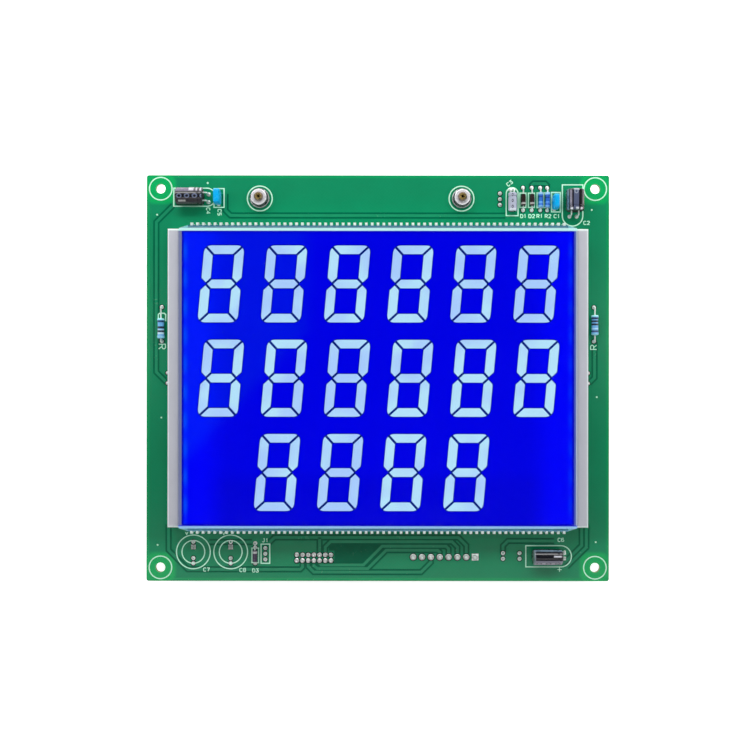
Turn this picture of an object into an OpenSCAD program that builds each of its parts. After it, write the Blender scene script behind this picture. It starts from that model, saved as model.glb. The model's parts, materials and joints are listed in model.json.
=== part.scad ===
// Segment LCD module: three rows of seven-segment digits over a backlight, soldered to a green board.
// The origin is the middle of the four corner holes, on the rear face of the board.
// X runs along the digit rows, Y up the display, and Z out of its face. Sizes are in millimetres.

/* [Digits] */
// Height of a digit
digit_h = 33.9; // [26:0.1:38]
// Width of a digit
digit_w = 17.8; // [13:0.1:24]
// Thickness of the level bars
level_bar = 4.1; // [2:0.05:5.5]
// Width of the upright bars
upright_bar = 4.35; // [2:0.05:5.5]
// Gap between neighbouring segments
segment_gap = 0.62; // [0.2:0.02:1.2]
// Radius of a digit's outer corners
digit_corner_r = 3.3; // [1:0.1:4.5]
// Lean of the digits, in degrees
digit_slant = 5.2; // [0:0.1:10]
// Spacing of the digits along a row
digit_pitch = 27.5; // [24:0.1:32]
// Spacing of the rows
row_pitch = 41.1; // [39:0.1:48]
// Digits in each of the two upper rows
upper_digits = 6; // [6:1:8]
// Digits in the lowest row
lower_digits = 4; // [1:1:6]
// How far the two upper rows sit right of the middle
upper_shift = 0.3; // [-3:0.1:3]
// How far the lowest row sits right of the middle
lower_shift = -2.7; // [-6:0.1:6]

/* [Glass cell] */
// Blank margin from the digits to the edge of the polarizer
view_margin = 6; // [4:0.1:12]
// Bare rim of the glass beside the polarizer
side_rim = 1.6; // [1:0.05:4]
// Bare rim of the front glass above and below the polarizer
end_rim = 1.35; // [1:0.05:4]
// Contact ledge of the rear glass beyond the front glass
ledge_w = 1.4; // [1.2:0.05:3]
// Corner cut of the ledges, along and across
ledge_cut = [3.9, 1.3]; // [0.4:0.1:4]
// Thickness of each glass plate
glass_t = 1.1; // [0.7:0.1:2]
// Thickness of each polarizer film
polarizer_t = 0.2; // [0.1:0.05:0.4]
// Gap between the glass plates, drawn wider than the real few microns
cell_gap = 0.1; // [0.06:0.02:0.3]
// Width of the seal around the cell
seal_w = 1.2; // [0.6:0.1:2]

/* [Clip pins] */
// Spacing of the clip pins
pin_pitch = 2.54; // [2:0.01:3]
// Least distance of the end pins from the ends of the glass
pin_end_margin = 5; // [3:0.5:12]
// How far the pin line lies outside the rear glass
pin_out = 0.95; // [0.4:0.05:1.4]
// Thickness of the pin metal
pin_t = 0.25; // [0.15:0.05:0.35]
// Width of a clip on the ledge
clip_w = 1.1; // [0.8:0.1:1.4]
// Width of a pin's stem
stem_w = 0.5; // [0.3:0.05:0.7]
// How far pins and leads stand out under the board
lead_tail = 1.4; // [0.8:0.1:2.5]
// Height of the resin bead over the clips
resin_h = 0.75; // [0.5:0.05:1]

/* [Backlight] */
// Width of the side rails that show beside the glass
rail_w = 5.3; // [4:0.1:10]
// Outer wall of the side rails
rail_wall = 1.2; // [0.8:0.1:2]
// Thickness of the lip over the rails
lip_t = 1.2; // [0.8:0.1:2]
// Thickness of the light guide
guide_t = 5; // [3:0.1:8]
// Thickness of the diffuser sheet
diffuser_t = 0.3; // [0.1:0.05:0.6]
// Thickness of the reflector sheet
reflector_t = 0.2; // [0.1:0.05:0.4]
// Thickness of the backing plate
backing_t = 1.8; // [1:0.1:3]
// Bevel along the frame's upper edges
frame_bevel = 0.4; // [0.1:0.05:0.8]
// Thickness of the LED strips
strip_t = 1; // [0.6:0.1:1.6]
// Length, thickness and height of an LED chip
chip_size = [3, 1, 2]; // [0.6:0.1:4]
// Spacing of the LED chips
chip_pitch = 12.3; // [8:0.1:20]
// Spacing of the two pins of an LED strip
strip_pin_pitch = 4.6; // [3:0.1:8]
// How far the pins of the LED strips stand outside the frame
strip_pin_out = 1.9; // [1.7:0.1:3]

/* [Board] */
// Thickness of the board
board_t = 1.6; // [1:0.1:2.4]
// Board beside the backlight
side_margin = 11.4; // [11:0.1:20]
// Board above and below the backlight
end_margin = 25.4; // [25:0.1:40]
// Corner radius of the board
board_corner_r = 1; // [0.5:0.1:4]
// Radius of the corner holes
corner_hole_r = 2.15; // [1.6:0.05:2.6]
// Distance of the corner holes from the side and end edges
corner_inset = [6.25, 6.05]; // [5:0.05:9]

/* [Studs] */
// Distance of the left stud from the middle, to the left
stud_left = 52.9; // [40:0.1:56]
// Distance of the right stud from the middle, to the right
stud_right = 37.4; // [30:0.1:42]
// Distance of the studs from the upper edge
stud_from_top = 10.4; // [8:0.1:14]
// Radius of the studs
stud_r = 2; // [1.5:0.05:2.2]
// How far a stud stands out of its nut
stud_tip = 1.3; // [0.5:0.1:3]
// Radius and depth of the dimple in a stud's end
dimple = [0.75, 0.9]; // [0.4:0.05:1.2]
// Nut size across flats
nut_flats = 7; // [6:0.1:9]
// Height of a nut
nut_h = 3.2; // [2.4:0.1:5]
// Radius of a washer
washer_r = 4.5; // [4:0.1:6]
// Thickness of a washer
washer_t = 0.8; // [0.4:0.1:1.2]
// Length of the standoffs behind the board
standoff_l = 10; // [8:0.5:25]
// Standoff size across flats
standoff_flats = 7; // [6:0.1:9]
// Radius and depth of the threaded hole in a standoff
standoff_bore = [1.65, 7]; // [1.2:0.05:12]

/* [Wire leads] */
// Radius of a wire lead
lead_r = 0.3; // [0.2:0.02:0.4]
// Inside clearance of a lead hole
lead_hole_fit = 0.15; // [0.08:0.01:0.25]
// Bend radius of a wire lead, at its middle
lead_bend = 0.7; // [0.5:0.05:1]
// Width of the solder ring around a hole
solder_ring = 0.4; // [0.3:0.05:0.6]
// Height of a solder joint
solder_h = 0.9; // [0.5:0.05:1.2]

/* [Electrolytic capacitors] */
// Thickness of the sleeves
sleeve_t = 0.15; // [0.1:0.01:0.3]
// Wall of the cans around the bungs
can_wall = 0.3; // [0.2:0.05:0.5]
// Length of the bungs
bung_l = 2.2; // [1.5:0.1:3]
// Depth of the rolled groove near the bung
groove_d = 0.25; // [0.1:0.05:0.4]
// Distance from the bung's end of a can to the groove
groove_at = 1.6; // [1.4:0.1:2]
// Edge radius of the cans
can_edge_r = 0.45; // [0.2:0.05:0.6]
// Distance from a can's end to its lead holes
can_run = 1.9; // [1.4:0.1:4]
// Gap under the lying cans
can_lift = 0.05; // [0:0.01:0.3]
// Diameter and length of the left can
left_can = [8, 11.5]; // [5:0.1:16]
// Distance of the left can's holes from the left and upper edges
left_can_at = [27.7, 10.4]; // [8:0.1:40]
// Lead spacing of the left can
left_can_pitch = 3.5; // [1.5:0.1:5]
// Diameter and length of the small can
small_can = [4, 8]; // [3:0.1:11]
// Distance of the small can's holes from the right and upper edges
small_can_at = [43.6, 6.4]; // [4:0.1:60]
// Lead spacing of the small can
small_can_pitch = 1.5; // [1.2:0.1:2.5]
// Diameter and length of the right can
right_can = [8, 9.1]; // [5:0.1:16]
// Distance of the right can's holes from the right and upper edges
right_can_at = [16.2, 18.4]; // [8:0.1:40]
// Lead spacing of the right can
right_can_pitch = 3.2; // [1.5:0.1:5]
// Diameter and length of the lower can
lower_can = [7, 12.5]; // [5:0.1:16]
// Distance of the lower can's holes from the right and lower edges
lower_can_at = [20.1, 11.6]; // [8:0.1:40]
// Lead spacing of the lower can
lower_can_pitch = 2.5; // [1.5:0.1:5]

/* [Dipped capacitors] */
// Thickness, width and height of the left dipped capacitor
left_dip = [2.9, 6.8, 7]; // [2:0.1:10]
// Distance of its middle from the left and upper edges
left_dip_at = [32.3, 10.5]; // [6:0.1:60]
// Thickness, width and height of the right dipped capacitor
right_dip = [2.4, 6.7, 6.5]; // [2:0.1:10]
// Distance of its middle from the right and upper edges
right_dip_at = [24.7, 12.6]; // [6:0.1:60]
// Lead spacing of the dipped capacitors
dip_pitch = 5.08; // [2.54:0.02:5.6]
// Height of the dipped capacitors over the board
dip_lift = 0.8; // [0.4:0.1:2]
// Corner radii of their upper and lower ends
dip_corner_r = [1.8, 0.7]; // [0.3:0.1:2.4]
// Half the width of the flat that their leads meet
dip_flat = 0.35; // [0.3:0.05:0.6]

/* [Diodes and resistors] */
// Diameter and length of a diode
diode = [2.1, 5.2]; // [1.5:0.1:6]
// Bevel of a diode's ends
diode_bevel = 0.25; // [0.1:0.05:0.5]
// Distance of the upper diodes' middles from the right and upper edges
diode_a_at = [38.6, 10.6]; // [6:0.1:60]
// The second upper diode
diode_b_at = [34.7, 10.6]; // [6:0.1:60]
// Distance of the lower diode's middle from the left and lower edges
diode_c_at = [48.7, 11.45]; // [6:0.05:60]
// Diameter and length of a small resistor
small_resistor = [2.3, 6.9]; // [1.6:0.1:8]
// Distance of the small resistors' middles from the right and upper edges
small_resistor_a_at = [30.9, 10.6]; // [6:0.1:60]
// The second small resistor
small_resistor_b_at = [27.8, 10.6]; // [6:0.1:60]
// Hole span of the upper diodes and small resistors
upper_span = 10; // [9.6:0.02:12.7]
// How far the bodies of the upper diodes and small resistors sit below the middle of their holes
upper_drop = 0.6; // [-1:0.1:1]
// Hole span of the lower diode
lower_span = 7.1; // [7:0.02:12.7]
// Diameter and length of a large resistor
large_resistor = [3.2, 9]; // [2:0.1:10]
// Distance of the large resistors from the side edges
large_resistor_from_side = 6.8; // [4:0.1:8]
// Height of their middle hole point over the middle of the board
large_resistor_up = 24.1; // [0:0.1:50]
// How far the left one's body sits below that point
left_resistor_drop = 2; // [-2:0.1:2.4]
// How far the right one's body sits below that point
right_resistor_drop = 0.4; // [-2:0.1:2.4]
// Hole span of the large resistors
large_span = 15.24; // [15:0.02:20]
// Length of a resistor's end bulb
bulb_l = 1.7; // [1:0.1:2]
// How far the waist lies inside the bulbs
waist_d = 0.16; // [0.05:0.01:0.3]
// Edge radius of the bulbs
bulb_edge_r = 0.55; // [0.2:0.05:0.8]
// Gap under diodes and resistors
axial_lift = 0.15; // [0.05:0.05:1]

/* [Bare places] */
// Distance of the left round place from the left and lower edges
round_place_a_at = [21, 12.7]; // [9:0.1:30]
// Distance of the right round place from the left and lower edges
round_place_b_at = [37.7, 12.7]; // [9:0.1:60]
// Inner and outer hole distances from the middle of a round place
round_place_holes = [2.5, 4.8]; // [1.5:0.1:8]
// Distance of the three-hole place from the left and lower edges
triple_at = [53.2, 12.2]; // [9:0.1:70]
// Distance of the two pairs of holes from the right and lower edges
pair_a_at = [47.4, 11.3]; // [9:0.1:70]
// The second pair
pair_b_at = [40, 11.3]; // [9:0.1:70]
// Gap between the rings of the lower diode's upper hole and the spare hole above it
spare_gap = 0.15; // [0.1:0.05:2]
// Radius of a bare hole
bare_hole_r = 0.45; // [0.3:0.05:0.7]
// Wall of the plating, drawn thicker than the real one
plating_t = 0.08; // [0.04:0.01:0.12]
// Width of the plated ring around a bare hole
plated_ring = 0.35; // [0.3:0.05:0.6]

/* [Rear connectors] */
// Spacing of header pins and small holes
grid = 2.54; // [2.3:0.01:2.8]
// Columns of the data header
data_columns = 7; // [3:1:8]
// Width of a square data pin
data_pin_w = 0.64; // [0.5:0.01:0.8]
// Distance of the data header's middle from the middle of the board and the lower edge
data_at = [-28.55, 10.4]; // [-40:0.1:30]
// Width, height and wall of the data header's shroud
shroud_size = [8.8, 9, 1.2]; // [1:0.1:12]
// Floor of the shroud
shroud_floor = 2.5; // [1.5:0.1:4]
// Shroud beyond the end pins, at each end
shroud_end = 5.08; // [3.5:0.02:7]
// Width of the key slot in the shroud
key_w = 4.5; // [3:0.1:6]
// Pins of the power header
power_pins = 8; // [2:1:8]
// Spacing of the power pins
power_pitch = 3.96; // [3.5:0.01:4.1]
// Width of a square power pin
power_pin_w = 1.14; // [0.8:0.02:1.3]
// Distance of the power header's middle from the middle of the board and the lower edge
power_at = [29.75, 10.75]; // [8:0.05:36]
// Width, floor and height of the power header
power_base = [7.2, 3.2, 9.2]; // [2:0.1:12]
// Wall of the power header's lock
lock_t = 1.3; // [0.8:0.1:2]
// Power header beyond the end pins, at each end
power_end = 2; // [1.6:0.1:4]
// How far pins stand out of the solder side
pin_tip = 1; // [0.9:0.1:2]
// How far the pins end inside the height of their header
pin_inset = 0.8; // [0.2:0.1:2]

/* [Rear circuits] */
// Side and height of a driver package
driver_size = [10, 2]; // [1.4:0.1:14]
// Spacing of the drivers along the board
driver_pitch = 40; // [20:0.5:45]
// Leads on each side of a driver
driver_leads = 11; // [5:1:11]
// Spacing, width and thickness of the driver leads
driver_lead = [0.8, 0.35, 0.15]; // [0.1:0.01:1]
// Reach of the driver leads beyond the package
driver_reach = 1.6; // [1.2:0.1:2.5]
// Gap under a driver
driver_lift = 0.1; // [0.05:0.05:0.3]
// Distance of the regulator's middle from the right and upper edges
regulator_at = [48.9, 10.65]; // [6:0.05:60]
// Radius and height of the regulator
regulator_size = [2.4, 4.6]; // [2:0.1:6]
// Distance of the flat from the regulator's middle
regulator_flat = 1.2; // [0.8:0.1:1.6]
// Distance of the regulator from the board
regulator_lift = 2.6; // [2.2:0.1:4]
// Width of a regulator lead
regulator_lead_w = 0.45; // [0.3:0.05:0.6]

/* [Hidden] */
$fn = 48;
touch = 0.01;
film_clear = 0.35;
guide_fit = 0.1;
chip_gap = 0.2;
bore_fit = 0.15;
bung_rim = 0.1;
through = 1;

// Display, from the digits outwards
lean = tan(digit_slant);
digits_w = (upper_digits - 1) * digit_pitch + digit_w + digit_h * lean;
digits_h = 2 * row_pitch + digit_h;
polarizer = [digits_w + 2 * view_margin, digits_h + 2 * view_margin];
glass_w = polarizer[0] + 2 * side_rim;
front_glass_h = polarizer[1] + 2 * end_rim;
rear_glass_h = front_glass_h + 2 * ledge_w;
backlight = [glass_w + 2 * rail_w, front_glass_h];
board = [backlight[0] + 2 * side_margin, backlight[1] + 2 * end_margin];

// Heights over the rear face of the board
guide_z = board_t + backing_t + reflector_t;
lip_z = guide_z + guide_t + diffuser_t;
glass_z = lip_z + lip_t;
ledge_z = glass_z + glass_t;
front_z = ledge_z + cell_gap;
nut_z = board_t + washer_t;
stud_end = nut_z + nut_h + stud_tip;

// Backlight, from its walls inwards
cavity = [backlight[0] - 2 * rail_wall, polarizer[1] + 2 * film_clear];
window_w = polarizer[0] + 2 * film_clear;
strip_x = cavity[0] / 2 - guide_fit - strip_t;
guide = [2 * (strip_x - chip_size[1] - chip_gap), cavity[1] - 2 * guide_fit];
chip_count = floor((guide[1] - chip_size[0]) / chip_pitch);
strip_pin_z = max(guide_z + lead_r, board_t + solder_h + lead_bend + touch);
strip_pins = [for (sx = [-1, 1], sy = [-1, 1]) [sx * (backlight[0] / 2 + strip_pin_out), sy * strip_pin_pitch / 2]];

// Clip pins
ledge_corner = [ledge_cut[0], min(ledge_cut[1], ledge_w)];
pin_end = max(pin_end_margin, ledge_corner[0] + clip_w / 2 + touch);
pin_count = floor((glass_w - 2 * pin_end) / pin_pitch) + 1;
pin_xs = [for (i = [0:pin_count - 1]) (i - (pin_count - 1) / 2) * pin_pitch];
rear_edge = rear_glass_h / 2;
finger_l = ledge_w - film_clear;
stem_hole_r = norm([stem_w, pin_t]) / 2 + lead_hole_fit;

// Places, from the nearest edges of the board
function from_left_top(d) = [d[0] - board[0] / 2, board[1] / 2 - d[1]];
function from_right_top(d) = [board[0] / 2 - d[0], board[1] / 2 - d[1]];
function from_left_low(d) = [d[0] - board[0] / 2, d[1] - board[1] / 2];
function from_right_low(d) = [board[0] / 2 - d[0], d[1] - board[1] / 2];
function from_middle_low(d) = [d[0], d[1] - board[1] / 2];
function along(at, angle, u, v) = at + [u * cos(angle) - v * sin(angle), u * sin(angle) + v * cos(angle)];
corner_holes = [for (sx = [-1, 1], sy = [-1, 1])
    [sx * (board[0] / 2 - corner_inset[0]), sy * (board[1] / 2 - corner_inset[1])]];
studs = [[-stud_left, board[1] / 2 - stud_from_top], [stud_right, board[1] / 2 - stud_from_top]];

// Each lying can: place of its holes, direction its bung faces, diameter and length, lead spacing
cans = [
    [from_left_top(left_can_at), 0, left_can, left_can_pitch],
    [from_right_top(small_can_at), 90, small_can, small_can_pitch],
    [from_right_top(right_can_at), -90, right_can, right_can_pitch],
    [from_right_low(lower_can_at), 0, lower_can, lower_can_pitch]];
// Each dipped capacitor: place of its middle, size
dips = [
    [from_left_top(left_dip_at), left_dip],
    [from_right_top(right_dip_at), right_dip]];
// Each axial part: place of its middle hole point, diameter and length, hole span, drop of its body
function span_for(part, span, drop) = max(span, part[1] + 2 * (abs(drop) + lead_bend + touch));
diode_span = span_for(diode, upper_span, upper_drop);
diodes = [
    [from_right_top(diode_a_at), diode, diode_span, upper_drop],
    [from_right_top(diode_b_at), diode, diode_span, upper_drop],
    [from_left_low(diode_c_at), diode, span_for(diode, lower_span, 0), 0]];
side_x = board[0] / 2 - large_resistor_from_side;
small_span = span_for(small_resistor, upper_span, upper_drop);
left_span = span_for(large_resistor, large_span, left_resistor_drop);
right_span = span_for(large_resistor, large_span, right_resistor_drop);
resistors = [
    [from_right_top(small_resistor_a_at), small_resistor, small_span, upper_drop],
    [from_right_top(small_resistor_b_at), small_resistor, small_span, upper_drop],
    [[-side_x, large_resistor_up], large_resistor, left_span, left_resistor_drop],
    [[side_x, large_resistor_up], large_resistor, right_span, right_resistor_drop]];
axials = concat(diodes, resistors);
function can_r(c) = c[2][0] / 2 - sleeve_t;
function bung_r(c) = can_r(c) - can_wall - groove_d;
function can_pitch(c) = min(c[3], 2 * (bung_r(c) - lead_r - bung_rim));
function dip_gap(d) = min(dip_pitch, d[1][1] - 2 * dip_corner_r[1]);
lead_holes = concat(
    [for (c = cans, s = [-1, 1]) along(c[0], c[1], 0, s * can_pitch(c) / 2)],
    [for (d = dips, s = [-1, 1]) d[0] + [0, s * dip_gap(d) / 2]],
    [for (a = axials, s = [-1, 1]) a[0] + [0, s * a[2] / 2]]);
lead_hole_r = lead_r + lead_hole_fit;
// Joints on the front stay below the bends of the leads and the dipped bodies
front_solder_h = min(concat([solder_h, dip_lift - touch],
    [for (a = axials) a[1][0] / 2 + axial_lift - lead_bend - touch]));

// Connectors and circuits behind the board
data_middle = from_middle_low(data_at);
data_points = [for (i = [0:data_columns - 1], s = [-1, 1])
    data_middle + [(i - (data_columns - 1) / 2) * grid, s * grid / 2]];
power_middle = from_middle_low(power_at);
power_points = [for (i = [0:power_pins - 1]) power_middle + [(i - (power_pins - 1) / 2) * power_pitch, 0]];
regulator_middle = from_right_top(regulator_at);
regulator_points = [for (i = [-1:1]) regulator_middle + [0, i * grid]];
data_hole_r = data_pin_w / sqrt(2) + lead_hole_fit;
power_hole_r = power_pin_w / sqrt(2) + lead_hole_fit;
regulator_hole_r = regulator_lead_w / sqrt(2) + lead_hole_fit;
driver_xs = [for (i = [0:3]) (i - 1.5) * driver_pitch];

// Holes with no part in them
barrel_r = bare_hole_r + plating_t;
spare_up = diodes[2][2] / 2 + lead_hole_r + solder_ring + spare_gap + barrel_r + plated_ring;
bare_holes = concat(
    [for (p = [round_place_a_at, round_place_b_at], r = round_place_holes, s = [-1, 1]) from_left_low(p) + [0, s * r]],
    [for (i = [-1:1]) from_left_low(triple_at) + [0, i * grid]],
    [for (p = [pair_a_at, pair_b_at], s = [-1, 1]) from_right_low(p) + [0, s * grid / 2]],
    [diodes[2][0] + [0, spare_up]]);

// Points along an arc of a profile
function arc(middle, r, from, to, steps = 5) =
    [for (i = [0:steps]) let (a = from + (to - from) * i / steps) middle + r * [cos(a), sin(a)]];
function round_rect(size, r) = concat(
    arc([size[0] / 2 - r, size[1] / 2 - r], r, 0, 90), arc([r - size[0] / 2, size[1] / 2 - r], r, 90, 180),
    arc([r - size[0] / 2, r - size[1] / 2], r, 180, 270), arc([size[0] / 2 - r, r - size[1] / 2], r, 270, 360));
function cut_rect(size, c) = let (x = size[0] / 2, y = size[1] / 2)
    [[x, y - c[1]], [x - c[0], y], [c[0] - x, y], [-x, y - c[1]], [-x, c[1] - y], [c[0] - x, -y], [x - c[0], -y],
        [x, c[1] - y]];
function flip(points, sx, sy) = [for (p = points) [sx * p[0], sy * p[1]]];
function slanted(points) = [for (p = points) [p[0] + p[1] * lean, p[1]]];

module at_places(places) {
    for (p = places) translate([p[0], p[1], 0]) children();
}

// A plate of two sizes with its middle on the Z axis, from height z
module plate(size, z, t) {
    translate([-size[0] / 2, -size[1] / 2, z]) cube([size[0], size[1], t]);
}

// A square pin from height z to height top
module square_pin(w, z, top) {
    translate([-w / 2, -w / 2, z]) cube([w, w, top - z]);
}

// Turns a profile of (out, up) points into a strip of length w along X, in the middle
module strip_of(profile, w) {
    translate([-w / 2, 0, 0]) rotate([90, 0, 90]) linear_extrude(w) polygon(profile);
}

// Turns a profile of (along, radius) points about the X axis
module turned(profile) {
    rotate([0, 90, 0]) rotate_extrude() polygon([for (p = profile) [p[1], p[0]]]);
}

module behind_board() {
    mirror([0, 0, 1]) children();
}

// A wire that runs out along X, bends and goes down
module bent_lead(run, drop) {
    rotate([0, 90, 0]) cylinder(r = lead_r, h = run - lead_bend);
    translate([run - lead_bend, 0, -lead_bend]) rotate([90, 0, 0])
        rotate_extrude(angle = 90) translate([lead_bend, 0]) circle(r = lead_r);
    translate([run, 0, -drop]) cylinder(r = lead_r, h = drop - lead_bend);
}

// Board

module pcb() {
    color([0.07, 0.46, 0.28]) difference() {
        linear_extrude(board_t) polygon(round_rect(board, board_corner_r));
        translate([0, 0, -through]) {
            drill = board_t + 2 * through;
            at_places(corner_holes) cylinder(r = corner_hole_r, h = drill);
            at_places(studs) cylinder(r = stud_r + bore_fit, h = drill);
            at_places(lead_holes) cylinder(r = lead_hole_r, h = drill);
            at_places(strip_pins) cylinder(r = lead_hole_r, h = drill);
            at_places(data_points) cylinder(r = data_hole_r, h = drill);
            at_places(power_points) cylinder(r = power_hole_r, h = drill);
            at_places(regulator_points) cylinder(r = regulator_hole_r, h = drill);
            at_places(bare_holes) cylinder(r = barrel_r, h = drill);
            for (x = pin_xs, s = [-1, 1])
                translate([x, s * (rear_edge + pin_out), 0]) cylinder(r = stem_hole_r, h = drill);
        }
    }
}

module plated_holes() {
    ring_r = barrel_r + plated_ring;
    color([0.82, 0.82, 0.8]) at_places(bare_holes) rotate_extrude() polygon([
        [bare_hole_r, -plating_t], [ring_r, -plating_t], [ring_r, 0], [barrel_r, 0],
        [barrel_r, board_t], [ring_r, board_t], [ring_r, board_t + plating_t], [bare_hole_r, board_t + plating_t]]);
}

// A joint that rises in a hollow curve from its pad to the pin
module solder_joint(hole_r, h = solder_h) {
    bore_r = hole_r - lead_hole_fit + touch;
    pad_r = hole_r + solder_ring;
    foot = min(0.12, h / 2);
    rise = h - foot;
    curve = [for (i = [0:3]) let (u = i / 3) [pad_r - (pad_r - bore_r - foot) * u, foot + rise * u * u]];
    rotate_extrude() polygon(concat([[bore_r, 0], [pad_r, 0]], curve, [[bore_r, h]]));
}

module solder_joints() {
    color([0.8, 0.81, 0.82]) {
        translate([0, 0, board_t]) {
            at_places(lead_holes) solder_joint(lead_hole_r, front_solder_h);
            at_places(strip_pins) solder_joint(lead_hole_r);
            at_places(data_points) solder_joint(data_hole_r);
            at_places(power_points) solder_joint(power_hole_r);
            at_places(regulator_points) solder_joint(regulator_hole_r);
        }
        behind_board() {
            at_places(lead_holes) solder_joint(lead_hole_r);
            at_places(strip_pins) solder_joint(lead_hole_r);
            for (x = pin_xs, s = [-1, 1])
                translate([x, s * (rear_edge + pin_out), 0]) solder_joint(stem_hole_r);
        }
    }
}

// Backlight

module backlight_frame() {
    height = glass_z - board_t;
    function bevelled(w) = [[-w / 2, 0], [w / 2, 0], [w / 2, height - frame_bevel], [w / 2 - frame_bevel, height],
        [frame_bevel - w / 2, height], [-w / 2, height - frame_bevel]];
    color([0.76, 0.77, 0.79]) translate([0, 0, board_t]) difference() {
        intersection() {
            strip_of(bevelled(backlight[1]), backlight[0]);
            rotate([0, 0, 90]) strip_of(bevelled(backlight[0]), backlight[1]);
        }
        plate(cavity, -through, lip_z - board_t + through);
        plate([window_w, cavity[1]], 0, height + through);
        for (s = [-1, 1]) translate([-backlight[0] / 2 - through, s * strip_pin_pitch / 2, strip_pin_z - board_t])
            rotate([0, 90, 0]) cylinder(r = lead_hole_r, h = backlight[0] + 2 * through);
    }
}

module backing_plate() {
    color([0.9, 0.9, 0.9]) plate(cavity - [2, 2] * guide_fit, board_t, backing_t);
}

module reflector_sheet() {
    color([0.96, 0.96, 0.96]) plate(guide, guide_z - reflector_t, reflector_t);
}

module light_guide() {
    color([0.85, 0.92, 0.95]) plate(guide, guide_z, guide_t);
}

module diffuser_sheet() {
    color([0.95, 0.97, 1]) plate(guide, guide_z + guide_t, diffuser_t);
}

module led_strip(side) {
    height = lip_z - board_t - backing_t - diffuser_t;
    color([0.92, 0.92, 0.88])
        translate([side * (strip_x + strip_t / 2) - strip_t / 2, -guide[1] / 2, board_t + backing_t])
            cube([strip_t, guide[1], height]);
}

module led_strip_left() { led_strip(-1); }
module led_strip_right() { led_strip(1); }

module led_chips() {
    color([1, 0.95, 0.7]) for (side = [-1, 1], i = [0:chip_count - 1])
        translate([side * (strip_x - chip_size[1] / 2), (i - (chip_count - 1) / 2) * chip_pitch, guide_z + guide_t / 2])
            cube([chip_size[1], chip_size[0], chip_size[2]], center = true);
}

module backlight_pins() {
    start = strip_x + strip_t;
    color([0.8, 0.8, 0.78]) for (p = strip_pins)
        translate([sign(p[0]) * start, p[1], strip_pin_z]) rotate([0, 0, p[0] > 0 ? 0 : 180])
            bent_lead(abs(p[0]) - start, strip_pin_z + lead_tail);
}

// Liquid crystal cell

module rear_polarizer() {
    color([0.25, 0.28, 0.4]) plate(polarizer, glass_z - polarizer_t, polarizer_t);
}

module rear_glass() {
    color([0.75, 0.85, 0.88]) translate([0, 0, glass_z])
        linear_extrude(glass_t) polygon(cut_rect([glass_w, rear_glass_h], ledge_corner));
}

module cell_seal() {
    color([0.75, 0.9, 0.92]) difference() {
        plate([glass_w, front_glass_h], ledge_z, cell_gap);
        plate([glass_w - 2 * seal_w, front_glass_h - 2 * seal_w], ledge_z - through, cell_gap + 2 * through);
    }
}

module liquid_crystal() {
    color([0, 0.05, 0.85]) plate([glass_w - 2 * seal_w, front_glass_h - 2 * seal_w], ledge_z, cell_gap / 2);
}

// Where a line from p along the unit direction d leaves a circle of radius r about the origin
function leave_circle(p, d, r) = p + d * (sqrt(pow(p * d, 2) - p * p + r * r) - p * d);

// The upper bar and the upper left bar of an upright digit. Cuts at 45 degrees part them at the corner, the upper bar's
// ends take in half of each corner's curve, and the upright bars end in points at the middle.
half_w = digit_w / 2;
half_h = digit_h / 2;
cut_side = segment_gap / 2 / sqrt(2);
corner_mid = [digit_corner_r - half_w, half_h - digit_corner_r];
inner_corner = [upright_bar - half_w, half_h - level_bar];
cut_way = [-1, 1] / sqrt(2);
level_end = leave_circle(inner_corner + [1, 1] * cut_side - corner_mid, cut_way, digit_corner_r);
upright_end = leave_circle(inner_corner - [1, 1] * cut_side - corner_mid, cut_way, digit_corner_r);
level_end_angle = atan2(level_end[1], level_end[0]);
upright_end_angle = atan2(upright_end[1], upright_end[0]);
point_y = 2 * cut_side;
level_left = concat([inner_corner + [2 * cut_side, 0]], arc(corner_mid, digit_corner_r, level_end_angle, 90, 3));
level_segment = concat(level_left, flip([for (i = [len(level_left) - 1:-1:0]) level_left[i]], -1, 1));
upright_segment = concat(
    [inner_corner - [0, 2 * cut_side]], arc(corner_mid, digit_corner_r, upright_end_angle, 180, 3),
    [[-half_w, point_y + upright_bar / 2], [upright_bar / 2 - half_w, point_y],
     [upright_bar - half_w, point_y + upright_bar / 2]]);
middle_tip = half_w - upright_bar / 2 - 2 * cut_side;
middle_flat = middle_tip - level_bar / 2;
middle_segment = [[middle_tip, 0], [middle_flat, level_bar / 2], [-middle_flat, level_bar / 2],
    [-middle_tip, 0], [-middle_flat, -level_bar / 2], [middle_flat, -level_bar / 2]];
digit_outlines = [middle_segment, level_segment, flip(level_segment, 1, -1), upright_segment,
    flip(upright_segment, -1, 1), flip(upright_segment, 1, -1), flip(upright_segment, -1, -1)];

module digit_row(count, shift, y) {
    for (i = [0:count - 1], outline = digit_outlines)
        translate([shift + (i - (count - 1) / 2) * digit_pitch, y, ledge_z + cell_gap / 2])
            linear_extrude(cell_gap / 2) polygon(slanted(outline));
}

module digit_segments() {
    color([0.7, 0.83, 1]) {
        digit_row(upper_digits, upper_shift, row_pitch);
        digit_row(upper_digits, upper_shift, 0);
        digit_row(lower_digits, lower_shift, -row_pitch);
    }
}

module front_glass() {
    color([0.8, 0.9, 0.95, 0.3]) plate([glass_w, front_glass_h], front_z, glass_t);
}

module front_polarizer() {
    color([0.1, 0.2, 0.9, 0.3]) plate(polarizer, front_z + glass_t, polarizer_t);
}

// Clip pins: two fingers grip the ledge, and a stem runs down through the board

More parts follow.
